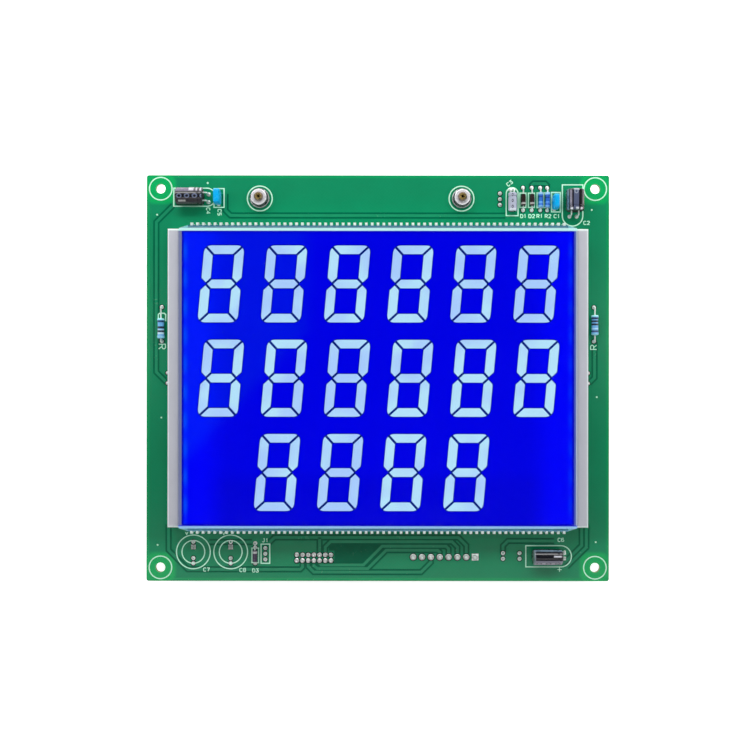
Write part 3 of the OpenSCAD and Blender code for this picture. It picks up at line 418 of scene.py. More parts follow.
# circuit board: green lacquer over copper, brighter where there is no copper, bare laminate at the edges, and
# painted shade beside the frame
boardLook = {
    "green": (6, 140, 94), "emerald": (0, 176, 95), "laminate": (138, 134, 78), "shift": 0.05, "scale": 90.0,
    "strip": (101.99, 89.3), "stripEdge": (-0.3, 0.4), "stripShare": 0.4,   # no copper along the edges
    "hole": (97.243, 84.75), "bareRound": (5.6, 7.8),   # and none round the corner holes
    "sideWide": (91.5, 93.5), "sideTall": (70.0, 76.0), "sideFade": (-40.0, 20.0, 0.17, 0.07),   # painted shade on the board beside the frame, stronger lower down
    "weave": 1.5, "weaveShade": 0.035, "weaveRelief": 0.5, "grainRelief": 0.3,
    "grain": 700.0, "rough": (0.258, 0.272), "relief": 0.008, "gloss": 0.4,
}


def boardMaterial(look):
    tree, shader = startMaterial("boardLacquer")
    x, y, z = place(tree)
    wide = abs(x)
    tall = abs(y)
    rim = calc("MAXIMUM", wide - look["strip"][0], tall - look["strip"][1])
    strip = ease(rim, *look["stripEdge"], 0.0, look["stripShare"])
    squares = abs(wide - look["hole"][0]) ** 4.0 + abs(tall - look["hole"][1]) ** 4.0
    bare = ease(squares ** 0.25, *look["bareRound"], 1.0, 0.0)   # a rounded square round each corner hole
    over = mixTone(calc("MAXIMUM", strip, bare), look["green"], look["emerald"])
    turns = 2 * math.pi / look["weave"]
    weave = calc("SINE", x * turns) * calc("SINE", y * turns) + 1.0
    # painted shade on the board beside the frame rails
    shadeBeside = ease(wide, *look["sideWide"]) * ease(tall, *look["sideTall"], 1.0, 0.0)
    level = weave * look["weaveShade"] + (1.0 - look["weaveShade"]) - shadeBeside * ease(y, *look["sideFade"])
    shaded = levelTone(level, addMottle(tree, over, look))
    upward = splitUp(tree, addNode(tree, "ShaderNodeNewGeometry").outputs["Normal"])[2]
    feed(shader["Base Color"], mixTone(ease(abs(upward), 0.4, 0.6), look["laminate"], shaded))
    relief = weave * look["weaveRelief"] + addGrain(tree, shader, look) * look["grainRelief"]
    feed(shader["Normal"], bump(relief, look["relief"], 0.1))
    feed(shader["Specular IOR Level"], look["gloss"])


# backlight frame: pale grey moulding with bands of another tone along its edges, which are painted highlight
# and painted shade
frameLook = {
    "tone": (196, 198, 206), "shift": 0.035, "scale": 160.0, "grain": 1400.0, "rough": (0.42, 0.56),
    "relief": 0.08,
    # painted highlight along the outer edge, painted shade along the inner edge by the glass, painted
    # highlight on the top lip
    "bands": [("x", 92.09, 0.42, 0.35, (222, 230, 234)), ("x", 87.1, 0.4, 0.4, (160, 166, 178)),
              ("y", 65.3, 0.4, 0.5, (236, 250, 246))],
}


def frameMaterial(look):
    tree, shader = startMaterial("framePlastic")
    x, y, z = place(tree)
    reach = {"x": abs(x), "y": abs(y)}
    base = look["tone"]
    for axis, middle, half, soft, overlayTone in look["bands"]:
        base = mixTone(bandAt(reach[axis], middle, half, soft), base, overlayTone)
    addCoat(tree, shader, base, look)


# clear layers keep a plain transmission, with only their roughness and relief from the nodes
clearCoat = {"grain": 260.0, "relief": 0.004, "gloss": 0.3}
clearLooks = {
    "displayGlass": {"tint": (0.94, 0.98, 0.97, 1), "index": 1.16, "rough": (0.0, 0.02)},   # bonded
    "polarizerFilm": {"tint": (0.97, 0.98, 1.0, 1), "index": 1.25, "rough": (0.1, 0.14)},   # slightly matt
    "lightGuide": {"tint": (0.97, 0.99, 1.0, 1), "index": 1.45, "rough": (0.05, 0.12)},
}


def clearMaterial(name, look):
    tree, shader = startMaterial(name)
    height = addGrain(tree, shader, {**clearCoat, **look})
    feed(shader["Normal"], bump(height, clearCoat["relief"], 0.1))
    feed(shader["Base Color"], look["tint"])
    feed(shader["Transmission Weight"], 1.0)
    feed(shader["IOR"], look["index"])
    feed(shader["Specular IOR Level"], clearCoat["gloss"])


boardMaterial(boardLook)
frameMaterial(frameLook)
for name, look in clearLooks.items():
    clearMaterial(name, look)
print("board, metal and clear materials made")


# lit layers of the display: light from the layer itself, over a dark base
litCoat = {"grain": 500.0, "rough": (0.5, 0.7), "gloss": 0.0, "power": 1.0, "unlit": (2, 4, 20),
           "shift": 0.03, "scale": 110.0}
litLooks = {
    "displaySegments": {**litCoat, "tones": [(174, 206, 253), (186, 228, 251)], "power": 1.05},
    "segmentRim": {**litCoat, "tones": [(0, 4, 150), (0, 8, 160)]},
    "segmentSlit": {**litCoat, "tones": [(4, 38, 98), (6, 50, 106)]},
}
fieldLook = {
    **litCoat, "unlit": (0, 2, 40), "shift": 0.02, "scale": 60.0, "blue": (0, 0, 233),
    "under": (0, 0, 221), "underFrom": (38.0, 48.0),   # darker under the lowest row
    "haze": (0, 17, 232), "hazeAt": (-31.6, 21.0), "hazeSlope": 0.93, "hazeSoft": 6.0,   # sheen on the left
    "sides": [(0, 1, 254), (0, 23, 255)], "sidesFrom": (64.0, 78.0),   # by the lamps, without and with haze
    "spots": [(0, 74, 255), (0, 44, 255)], "spotBand": (84.2, 0.2, 1.5), "spotPitch": 12.3,   # at the lamps
    "spotWave": (1.25, 0.44), "deep": (0, 0, 182), "ends": (64.2, 0.2, 0.9), "edge": (85.4, 0.3, 0.7),
}
# the seal is painted light: backlight glow seen round the glass margins, greyer on the left and bluer on the
# right,
# with a painted highlight along the right glass edge, bright lines above and below the field and a deep blue
# line inside the lower one
sealLook = {
    "grain": 600.0, "rough": (0.4, 0.6), "gloss": 0.5, "power": 0.93, "unlit": (40, 48, 70), "shift": 0.04,
    "scale": 200.0, "sides": [(112, 116, 154), (70, 86, 176)],
    "edge": (86.35, 86.5, (182, 190, 206)), "above": (64.1, 64.5, (200, 246, 242)),
    "inner": (64.0, 64.2, (0, 4, 206)), "below": (64.35, 64.75, (150, 194, 234)),
}
ledLook = {"tone": (214, 232, 255), "shift": 0.05, "scale": 400.0, "grain": 900.0, "rough": (0.2, 0.35),
           "power": 1.4}


def addGlow(tree, shader, glow, look):
    feed(shader["Emission Color"], glow)
    addGrain(tree, shader, look)
    feed(shader["Base Color"], look["unlit"])
    feed(shader["Emission Strength"], look["power"])
    feed(shader["Specular IOR Level"], look["gloss"])


def litMaterial(name, look):   # cloudy light between two tones
    tree, shader = startMaterial(name)
    cloud = ease(noiseAt(tree, 42.0, 2.0), 0.4, 0.62)
    addGlow(tree, shader, addMottle(tree, mixTone(cloud, *look["tones"]), look), look)


def fieldMaterial(look):
    tree, shader = startMaterial("displayField")
    x, y, z = place(tree)
    across = abs(x)
    lit = mixTone(ease(-y, *look["underFrom"]), look["blue"], look["under"])
    left, above = look["hazeAt"]
    slope = x - left + calc("MAXIMUM", -y + above, 0.0) * look["hazeSlope"]
    haze = ease(slope, -look["hazeSoft"], look["hazeSoft"], 1.0, 0.0)
    lit = mixTone(haze, lit, look["haze"])
    lit = mixTone(ease(across, *look["sidesFrom"]), lit, mixTone(haze, *look["sides"]))
    lit = addMottle(tree, lit, look)
    pitch = look["spotPitch"]
    rise, share = look["spotWave"]
    wave = (calc("COSINE", (y - pitch / 2) * (2 * math.pi / pitch)) + rise) * share   # a glow at each lamp
    lamp = mixTone(ease(x, -1, 1), *look["spots"])
    lit = mixTone(bandAt(across, *look["spotBand"]) * wave, lit, lamp)
    for along, part in ((abs(y), "ends"), (across, "edge")):
        lit = mixTone(bandAt(along, *look[part]), lit, look["deep"])
    addGlow(tree, shader, lit, look)


def sealMaterial(look):
    tree, shader = startMaterial("cellSeal")
    x, y, z = place(tree)
    glow = mixTone(ease(x, -1, 1), *look["sides"])
    for along, part in ((x, "edge"), (y, "above"), (-y, "inner"), (-y, "below")):
        start, end, overlayTone = look[part]
        glow = mixTone(ease(along, start, end), glow, overlayTone)
    addGlow(tree, shader, addMottle(tree, glow, look), look)


def ledMaterial(look):
    tree, shader = startMaterial("ledLens")
    patch = addMottle(tree, look["tone"], look)
    feed(shader["Base Color"], patch)
    feed(shader["Emission Color"], patch)
    feed(shader["Emission Strength"], look["power"])
    addGrain(tree, shader, look)


for name, look in litLooks.items():
    litMaterial(name, look)
fieldMaterial(fieldLook)
sealMaterial(sealLook)
ledMaterial(ledLook)
print("lit materials made")


# capacitor sleeves: each with its own axis, stripe and ovals, and patches of painted highlight, glint,
# reflection and dim sheen, with a few dark bars
# a patch has its place and half length along the can, its turn and half spread in degrees, and its tone
sleeveCoat = {"shift": 0.08, "scale": 300.0, "grain": 500.0, "rough": (0.12, 0.26), "relief": 0.1,
              "film": 0.4, "filmRough": 0.12, "patchSoft": 0.4, "turnSoft": 5.0}
sleeveLooks = {
    "left_capacitor_sleeve": {
        "axis": "x", "middle": (80.4, 5.65), "start": -89.0, "lean": -6.0, "half": 24.0, "pitch": 3.4,
        "long": 1.25, "wide": 15.0, "hollow": 0.35,
        "sleeve": (26, 25, 30), "stripe": (20, 20, 26), "mark": (112, 122, 150),
        "paintedLightPatches": [(-83.5, 7.0, 58, 30, (118, 110, 134)), (-80.5, 2.6, 60, 28, (206, 203, 215)),
                    (-80.6, 0.3, 54, 30, (16, 14, 22)), (-79.0, 0.34, 54, 30, (18, 16, 24)),
                    (-84.0, 6.0, -34, 12, (62, 58, 62)), (-86.2, 1.4, -38, 3.5, (206, 204, 202))]},
    "small_capacitor_sleeve": {
        "axis": "y", "middle": (59.89, 3.65), "start": 74.9, "lean": -7.0, "half": 66.0, "pitch": 2.6,
        "long": 0.75, "wide": 13.0, "hollow": 0.3,
        "sleeve": (40, 40, 48), "stripe": (182, 186, 206), "mark": (24, 24, 34),
        "paintedLightPatches": [(75.0, 0.3, 0, 40, (226, 230, 238))]},
    "right_capacitor_sleeve": {
        "axis": "y", "middle": (87.29, 5.65), "start": 77.7, "lean": -5.0, "half": 15.0, "pitch": 9.0,
        "long": 1.15, "wide": 14.0, "hollow": 0.3,
        "sleeve": (16, 15, 20), "stripe": (88, 96, 124), "mark": (150, 160, 176),
        "paintedLightPatches": [(79.0, 6.0, -64, 7, (116, 140, 160)), (79.2, 3.6, -39, 4.5, (160, 156, 172)),
                    (79.4, 4.2, 58, 9, (122, 96, 110)), (74.7, 0.3, -34, 6, (242, 242, 252)),
                    (74.7, 0.3, 2, 6, (236, 242, 250)), (74.7, 0.3, 32, 6, (230, 222, 232)),
                    (83.3, 0.4, -3, 15, (170, 178, 190))]},
    "lower_capacitor_sleeve": {
        "axis": "x", "middle": (-79.2, 5.15), "start": 69.1, "lean": -46.0, "half": 27.0, "pitch": 4.1,
        "long": 1.5, "wide": 11.0, "hollow": 0.3,
        "sleeve": (22, 22, 30), "stripe": (150, 148, 164), "mark": (70, 68, 80),
        "paintedLightPatches": [(75.2, 6.4, 62, 5, (130, 155, 176)), (79.2, 1.5, 14, 3, (232, 234, 242)),
                    (69.1, 0.25, 10, 60, (122, 134, 142))]},
}


def sleeveMaterial(name, look):
    tree, shader = startMaterial(name)
    x, y, z = place(tree)
    along, side = (x, y) if look["axis"] == "x" else (y, x)
    turn = calc("DEGREES", calc("ARCTAN2", side - look["middle"][0], z - look["middle"][1]))
    shade = useGroup(
        tree, sleevePrint, Along=along - look["start"], Angle=turn - look["lean"], Half=look["half"],
        Pitch=look["pitch"], Long=look["long"], Wide=look["wide"], Hollow=look["hollow"],
        Sleeve=look["sleeve"], Stripe=look["stripe"], Mark=look["mark"])["Colour"]
    broken = ease(noiseAt(tree, 700.0, 3.0), 0.3, 0.6, 0.6, 1.0)
    # painted highlights, glints and reflections on the sleeve, and painted glints at the can ends
    for middle, half, lean, spread, overlayTone in look["paintedLightPatches"]:
        length = bandAt(along, middle, half, sleeveCoat["patchSoft"])
        width = bandAt(turn, lean, spread, sleeveCoat["turnSoft"])
        shade = mixTone(length * width * broken, shade, overlayTone)
    addCoat(tree, shader, shade, sleeveCoat)
    feed(shader["Coat Weight"], sleeveCoat["film"])
    feed(shader["Coat Roughness"], sleeveCoat["filmRough"])


# banded bodies: diodes and resistors, bands given as place along the body, half width and tone; the pale
# bands on the resistors are painted highlights, chiefly on the end bulbs, the dark ones colour bands
bodyCoat = {"shift": 0.07, "scale": 420.0, "grain": 900.0, "relief": 0.08, "bandSoft": 0.08}
bandLooks = {
    "upper_diode_left": {
        "tone": (42, 26, 26), "rough": (0.2, 0.34), "bands": [(78.0, 0.4, (176, 174, 170))]},
    "upper_diode_right": {
        "tone": (46, 32, 32), "rough": (0.2, 0.34), "bands": [(78.0, 0.4, (170, 168, 164))]},
    "lower_diode": {
        "tone": (74, 62, 84), "rough": (0.2, 0.34), "bands": [(-77.7, 0.45, (196, 198, 200))]},
    "small_resistor_left": {
        "tone": (36, 112, 206), "rough": (0.3, 0.45),
        "bands": [(82.5, 0.55, (150, 200, 240)), (80.9, 0.25, (16, 58, 150)), (78.5, 0.3, (112, 178, 236)),
                  (76.6, 0.4, (128, 186, 236))]},
    "small_resistor_right": {
        "tone": (34, 104, 204), "rough": (0.3, 0.45),
        "bands": [(82.5, 0.6, (156, 206, 242)), (80.6, 0.25, (14, 50, 146)), (78.5, 0.3, (104, 166, 236)),
                  (76.6, 0.4, (124, 180, 236))]},
    "side_resistor_left": {
        "tone": (104, 176, 230), "rough": (0.24, 0.38),
        "bands": [(26.4, 0.5, (176, 250, 255)), (18.2, 0.45, (150, 220, 250)), (25.2, 0.34, (22, 56, 104)),
                  (22.5, 0.42, (8, 16, 46)), (21.5, 0.2, (176, 214, 240)), (20.8, 0.36, (10, 18, 44)),
                  (19.9, 0.34, (196, 226, 240))]},
    "side_resistor_right": {
        "tone": (112, 180, 232), "rough": (0.24, 0.38),
        "bands": [(28.0, 0.5, (176, 250, 255)), (19.6, 0.3, (150, 220, 240)), (26.7, 0.36, (24, 44, 92)),
                  (25.4, 0.36, (14, 16, 34)), (24.0, 0.36, (8, 12, 34)), (22.1, 0.25, (186, 228, 255)),
                  (20.9, 0.34, (26, 56, 112))]},
}


def bandedMaterial(name, look):
    tree, shader = startMaterial(name)
    along = place(tree)[1]
    base = look["tone"]
    for middle, half, overlayTone in look["bands"]:
        base = mixTone(bandAt(along, middle, half, bodyCoat["bandSoft"]), base, overlayTone)
    addCoat(tree, shader, base, {**bodyCoat, **look})


def dress(material, *names):
    for name in names:
        nodes[name].data.materials.clear()
        nodes[name].data.materials.append(materials[material])


dress("boardLacquer", "pcb")
dress("tinnedMetal", "plated_holes", "backlight_pins", "capacitor_leads", "dipped_capacitor_leads",
      "diode_leads", "resistor_leads", "power_header_pins", "display_driver_leads", "regulator_leads")
dress("clipMetal", "lcd_pins_top", "lcd_pins_bottom")
dress("solderMetal", "solder_joints")
dress("framePlastic", "backlight_frame")
dress("whiteFilm", "backing_plate", "reflector_sheet", "diffuser_sheet")
dress("lightGuide", "light_guide")
dress("ledStrip", "led_strip_left", "led_strip_right")
dress("ledLens", "led_chips")
dress("polarizerFilm", "rear_polarizer", "front_polarizer")
dress("displayGlass", "rear_glass", "front_glass")
dress("cellSeal", "cell_seal")
dress("displayField", "liquid_crystal")
dress("displaySegments", "digit_segments")
dress("tealResin", "pin_resin_top", "pin_resin_bottom")
dress("turnedBrass", "standoffs")
dress("platedWasher", "stud_washers")
dress("platedNut", "stud_nuts")
dress("canMetal", "left_capacitor_can", "small_capacitor_can", "right_capacitor_can", "lower_capacitor_can")
dress("bungRubber", "capacitor_bungs")
dress("dippedBlue", "left_dipped_capacitor", "right_dipped_capacitor")
dress("headerBlack", "data_header_shroud")
dress("headerPin", "data_header_pins")
dress("headerIvory", "power_header_base")
dress("circuitEpoxy", "display_driver_1", "display_driver_2", "display_driver_3", "display_driver_4",
      "regulator_body")
for sleeve, look in sleeveLooks.items():
    sleeveMaterial(sleeve + "Print", look)
    dress(sleeve + "Print", sleeve)
for body, look in bandLooks.items():
    bandedMaterial(body + "Bands", look)
    dress(body + "Bands", body)
print("all nodes dressed")


# mesh building: a pile has the corner points and faces of one piece, and the levels of what is added next
def startPile(low, top):
    return {"points": [], "faces": [], "low": low, "top": top}


def addRibbon(pile, points, width, closed=False):
    points = [Vector(point).to_2d() for point in points]
    count = len(points)
    base = len(pile["points"])
    low, top = pile["low"], pile["top"]
    for i, point in enumerate(points):
        ways = []
        if closed or i > 0:
            ways.append((point - points[i - 1]).normalized())
        if closed or i < count - 1:
            ways.append((points[(i + 1) % count] - point).normalized())
        sides = [Vector((-way.y, way.x)) for way in ways]
        lean = sum(sides, Vector((0, 0)))
        lean = lean.normalized() if lean.length > 1e-6 else sides[0]
        reach = min(width / 2 / max(lean.dot(sides[0]), 0.3), width)   # no spike at a sharp bend
        left = point + lean * reach
        right = point - lean * reach
        pile["points"] += [(*left, top), (*right, top), (*right, low), (*left, low)]
    for i in range(count if closed else count - 1):
        here = base + 4 * i
        there = base + 4 * ((i + 1) % count)
        pile["faces"] += [(here + k, here + (k + 1) % 4, there + (k + 1) % 4, there + k) for k in range(4)]
    if not closed:
        end = base + 4 * (count - 1)
        pile["faces"] += [(base, base + 3, base + 2, base + 1), (end, end + 1, end + 2, end + 3)]


def arcPoints(middle, radius, start, end, steps):
    angles = [math.radians(start + (end - start) * i / steps) for i in range(steps + 1)]
    return [(middle[0] + radius * math.cos(a), middle[1] + radius * math.sin(a)) for a in angles]


def circle(middle, radius, steps):
    return arcPoints(middle, radius, 0, 360, steps)[:-1]


def addRing(pile, middle, radius, width, steps):
    addRibbon(pile, circle(middle, radius, steps), width, True)


def addBox(pile, west, south, east, north, width):
    addRibbon(pile, [(west, south), (east, south), (east, north), (west, north)], width, True)


def addLoft(pile, loops):   # closed body through loops of equal count, capped at both ends
    base = len(pile["points"])
    count = len(loops[0])
    last = base + (len(loops) - 1) * count
    for loop in loops:
        pile["points"] += loop
    for start in range(base, last, count):
        for i in range(count):
            j = (i + 1) % count
            pile["faces"].append((start + i, start + j, start + count + j, start + count + i))
    pile["faces"] += [tuple(range(base + count - 1, base - 1, -1)), tuple(range(last, last + count))]


def addPrism(pile, outline):
    addLoft(pile, [[(x, y, z) for x, y in outline] for z in (pile["low"], pile["top"])])


def makePiece(name, pile, material, smooth=False):
    mesh = bpy.data.meshes.new(name)
    mesh.from_pydata([(x * mm, y * mm, z * mm) for x, y, z in pile["points"]], [], pile["faces"])
    shape = bmesh.new()
    shape.from_mesh(mesh)
    bmesh.ops.recalc_face_normals(shape, faces=shape.faces)
    for face in shape.faces:
        face.smooth = smooth
    shape.to_mesh(mesh)
    shape.free()
    mesh.materials.append(materials[material])
    piece = bpy.data.objects.new(name, mesh)
    bpy.context.scene.collection.objects.link(piece)
    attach(piece, "root")
    return piece


# front glass and its film, with ground edges, a hair above the layers under them
glassSetup = {"half": (86.79, 65.4), "low": 11.32, "top": 12.4, "grind": 0.18, "corner": 0.35}
filmSetup = {"half": (85.19, 64.05), "low": 12.42, "top": 12.6, "grind": 0.05, "corner": 0.4}


def makeSheet(name, setup, material, node):
    low, top, grind, cut = setup["low"], setup["top"], setup["grind"], setup["corner"]
    loops = []
    for z, inset in [(low, grind), (low + grind, 0.0), (top - grind, 0.0), (top, grind)]:
        wide = setup["half"][0] - inset
        tall = setup["half"][1] - inset
        outline = [(wide, tall - cut), (wide - cut, tall), (cut - wide, tall), (-wide, tall - cut),
                   (-wide, cut - tall), (cut - wide, -tall), (wide - cut, -tall), (wide, cut - tall)]
        loops.append([(x, y, z) for x, y in outline])
    pile = startPile(low, top)
    addLoft(pile, loops)
    sheet = makePiece(name, pile, material)
    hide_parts(node)


makeSheet("groundFrontGlass", glassSetup, "displayGlass", "front_glass")
makeSheet("frontFilm", filmSetup, "polarizerFilm", "front_polarizer")


# rim round every lit segment, along its own outline, and a dark slit between neighbouring segments
rimSetup = {"line": 0.38, "low": 11.29, "top": 11.312, "slit": 0.46, "slitTop": 11.315, "near": 1.0,
            "long": 1.5, "weld": 0.001}


def segmentOutlines():   # border loops of the segments' upper faces
    shape = bmesh.new()
    shape.from_mesh(nodes["digit_segments"].data)
    bmesh.ops.remove_doubles(shape, verts=shape.verts, dist=rimSetup["weld"] * mm)
    spots = [Vector((vert.co.x / mm, vert.co.y / mm)) for vert in shape.verts]
    shape.verts.index_update()
    links = {}
    for edge in shape.edges:
        if sum(face.normal.z > 0.9 for face in edge.link_faces) == 1:   # border of an upper face
            here, there = [vert.index for vert in edge.verts]
            links.setdefault(here, []).append(there)
            links.setdefault(there, []).append(here)
    shape.free()
    outlines = []
    while links:
        start, ends = links.popitem()
        loop = [start]
        here = ends[0]
        while here != start:
            ends = links.pop(here)
            ahead = ends[0] if ends[0] != loop[-1] else ends[1]
            loop.append(here)
            here = ahead
        outlines.append([spots[i] for i in loop])
    return outlines


def makeSegmentRims():
    rims = startPile(rimSetup["low"], rimSetup["top"])
    slits = startPile(rimSetup["low"], rimSetup["slitTop"])
    sides = []
    for outline in segmentOutlines():
        addRibbon(rims, outline, rimSetup["line"], True)
        pairs = [(outline[i - 1], outline[i]) for i in range(len(outline))]
        found = [(begin, end) for begin, end in pairs if (end - begin).length > rimSetup["long"]]
        for begin, end in found:
            for first, last in sides:   # a side of an earlier segment that faces this one
                if ((begin + end) / 2 - (first + last) / 2).length < rimSetup["near"]:
                    if (begin - first).length > (begin - last).length:
                        first, last = last, first
                    addRibbon(slits, [(begin + first) / 2, (end + last) / 2], rimSetup["slit"])
        sides += found
    makePiece("segmentRims", rims, "segmentRim")
    makePiece("segmentSlits", slits, "segmentSlit")


makeSegmentRims()


# dipped capacitors: rounded lens of epoxy that runs down on to its two leads
dippedShape = {"levels": 16, "steps": 32, "ends": (0.06, 0.88), "swell": 0.22, "square": 0.32, "drip": 0.1}
dippedSetups = {
    "left_dipped_capacitor": {"middle": (-71.19, 80.3), "half": (1.45, 3.4), "low": 2.4, "top": 9.4},
    "right_dipped_capacitor": {"middle": (78.79, 78.2), "half": (1.2, 3.35), "low": 2.4, "top": 8.9},
}


def squared(level):   # between a circle and a square
    return math.copysign(abs(level) ** dippedShape["square"], level)


def makeDipped(node, setup):
    low, top = setup["low"], setup["top"]
    start, span = dippedShape["ends"]
    loops = []
    for i in range(dippedShape["levels"] + 1):
        rise = i / dippedShape["levels"]
        swell = math.sin(math.pi * (start + span * rise)) ** dippedShape["swell"]   # closing at both ends
        drip = 1.0 - dippedShape["drip"] * (1.0 - rise) ** 4   # a little narrower where it runs to the leads
        z = low + (top - low) * (0.5 - 0.5 * math.cos(math.pi * rise))
        loop = []
        for k in range(dippedShape["steps"]):
            a = 2 * math.pi * k / dippedShape["steps"]
            x = squared(math.cos(a)) * setup["half"][0] * swell
            y = squared(math.sin(a)) * setup["half"][1] * swell * drip
            loop.append((setup["middle"][0] + x, setup["middle"][1] + y, z))
        loops.append(loop)
    pile = startPile(low, top)
    addLoft(pile, loops)
    piece = makePiece(node + "Coat", pile, "dippedBlue", True)
    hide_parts(node)


for node, setup in dippedSetups.items():
    makeDipped(node, setup)
print("glass, film, rims and dipped bodies made")


# white print on the front of the board
printLevels = (1.58, 1.625)
ringSetup = {"corner": 5.05, "stud": 5.55, "line": 0.53, "steps": 72, "dot": 0.4, "dotSteps": 20,
             "dots": [(-98.85, 73.1), (-98.5, -74.7), (97.6, -73.3), (95.7, 75.4), (-96.9, -17.7),
                      (98.0, -8.4)]}
cornerHoles = [(side * boardLook["hole"][0], end * boardLook["hole"][1]) for side, end in corners]


def makeRings():
    pile = startPile(*printLevels)
    for places, radius in ((cornerHoles, ringSetup["corner"]), (studPlaces, ringSetup["stud"])):
        for middle in places:
            addRing(pile, middle, radius, ringSetup["line"], ringSetup["steps"])
    for dot in ringSetup["dots"]:
        addPrism(pile, circle(dot, ringSetup["dot"], ringSetup["dotSteps"]))
    makePiece("whiteRings", pile, "whiteInk")


# outlines of the parts: a lying capacitor has a half round for its leads and a straight part for its can,
# given as middle and radius of the round, length of the straight, heading of the round and its steps
outlineSetup = {
    "line": 0.5, "steps": 72,
    "boxes": [(-73.4, 76.4, -68.9, 84.8), (77.65, 74.5, 81.6, 83.2), (-52.2, -82.9, -48.3, -74.3),
              (63.5, 76.5, 66.2, 82.9), (67.3, 76.5, 70.0, 82.9), (71.2, 76.4, 73.8, 83.0),
              (74.2, 76.4, 76.8, 83.0), (-56.3, -82.6, -53.3, -76.1)],
    "rounds": [(-82.49, -77.8), (-65.79, -77.8)], "radii": (7.55, 5.1),
    "lying": [((-76.6, 80.95), 4.05, 14.8, 0, 24), ((60.05, 82.65), 2.65, 9.85, 90, 20),
              ((87.1, 72.8), 4.6, 13.8, 270, 24), ((81.95, -79.65), 4.75, 15.65, 0, 24)],
    "arch": (-98.3, 25.4, -95.0, 29.0), "archCut": 0.6,   # the one printed end of the left resistor's box
    "ticks": [(-85.5, -69.6), (-68.9, -69.6)], "tick": (0.55, 0.35),
}


def makeOutlines():
    pile = startPile(*printLevels)
    line = outlineSetup["line"]
    for box in outlineSetup["boxes"]:
        addBox(pile, *box, line)
    for middle in outlineSetup["rounds"]:
        for radius in outlineSetup["radii"]:
            addRing(pile, middle, radius, line, outlineSetup["steps"])
    for middle, radius, straight, heading, steps in outlineSetup["lying"]:
        route = arcPoints(middle, radius, heading + 90, heading - 90, steps)
        along = straight * math.cos(math.radians(heading))
        up = straight * math.sin(math.radians(heading))
        route += [(x - along, y - up) for x, y in (route[-1], route[0])]
        addRibbon(pile, route, line, True)
    west, south, east, north = outlineSetup["arch"]
    cut = outlineSetup["archCut"]
    addRibbon(pile, [(west, south), (west, north - cut), (west + cut, north), (east - cut, north),
                     (east, north - cut), (east, south)], line)
    arm, drop = outlineSetup["tick"]
    for x, y in outlineSetup["ticks"]:
        addRibbon(pile, [(x - arm, y + arm), (x, y - drop), (x + arm, y + arm)], line)
    makePiece("whiteOutlines", pile, "whiteInk")


# part references in single strokes, on a grid two wide and three high
strokes = {
    "C": [[(2, 2.5), (1.5, 3), (0.5, 3), (0, 2.5), (0, 0.5), (0.5, 0), (1.5, 0), (2, 0.5)]],
    "D": [[(0, 0.1), (0, 3), (1.3, 3), (2, 2.3), (2, 0.7), (1.3, 0), (0.1, 0)]],
    "J": [[(0.8, 3), (2, 3)], [(1.6, 2.8), (1.6, 0.5), (1.1, 0), (0.5, 0), (0, 0.5)]],
    "R": [[(0, 0), (0, 3), (1.5, 3), (2, 2.5), (2, 2), (1.5, 1.5), (0.2, 1.5)], [(1, 1.4), (2, 0)]],
    "1": [[(0.4, 2.3), (1, 3), (1, 0)]],
    "2": [[(0, 2.5), (0.5, 3), (1.5, 3), (2, 2.5), (2, 2), (0.1, 0), (2, 0)]],
    "3": [[(0, 3), (2, 3), (1, 1.8), (2, 1.2), (2, 0.5), (1.5, 0), (0.5, 0), (0, 0.5)]],
    "4": [[(1.5, 0), (1.5, 3), (0, 1), (2.1, 1)]],
    "5": [[(2, 3), (0.1, 3), (0.1, 1.7), (1.5, 1.7), (2, 1.2), (2, 0.5), (1.5, 0), (0, 0)]],
    "6": [[(2, 2.6), (1.5, 3), (0.5, 3), (0, 2.5), (0, 0.5), (0.5, 0), (1.5, 0), (2, 0.5), (2, 1.3),
           (1.5, 1.7), (0.2, 1.7)]],
    "7": [[(0, 3), (2, 3), (0.8, 0)]],
    "8": [[(0.5, 1.6), (0, 2.1), (0, 2.6), (0.5, 3), (1.5, 3), (2, 2.6), (2, 2.1), (1.5, 1.6), (2, 1.1),
           (2, 0.5), (1.5, 0), (0.5, 0), (0, 0.5), (0, 1.1), (0.4, 1.5)], [(0.6, 1.6), (1.4, 1.6)]],
}
# a mark has its text, middle and turn, and its height where that isn't the usual one
markSetup = {
    "line": 0.36, "tall": 1.5, "grid": (2, 3), "advance": 2.9, "stretch": 1.05,
    "marks": [("D1", 65.1, 72.6, 0), ("D2", 68.8, 72.6, 0), ("R1", 72.4, 72.6, 0), ("R2", 76.1, 72.6, 0),
              ("C1", 80.1, 72.6, 0), ("C2", 93.4, 69.6, 0), ("C3", 58.9, 87.3, 38), ("C4", -76.0, 74.9, -90),
              ("C5", -70.9, 74.2, -90), ("C6", 82.0, -72.3, 0), ("D3", -54.7, -86.1, 0),
              ("R", -96.57, 14.1, -90, 3.0), ("R", 96.58, 13.9, 90, 2.7), ("C7", -76.6, -85.7, 0),
              ("C8", -60.4, -85.9, 0), ("J1", -50.3, -72.6, 0)],
    "plus": [(81.4, -85.6, 0.95), (-76.2, 87.3, 0.5)],
}


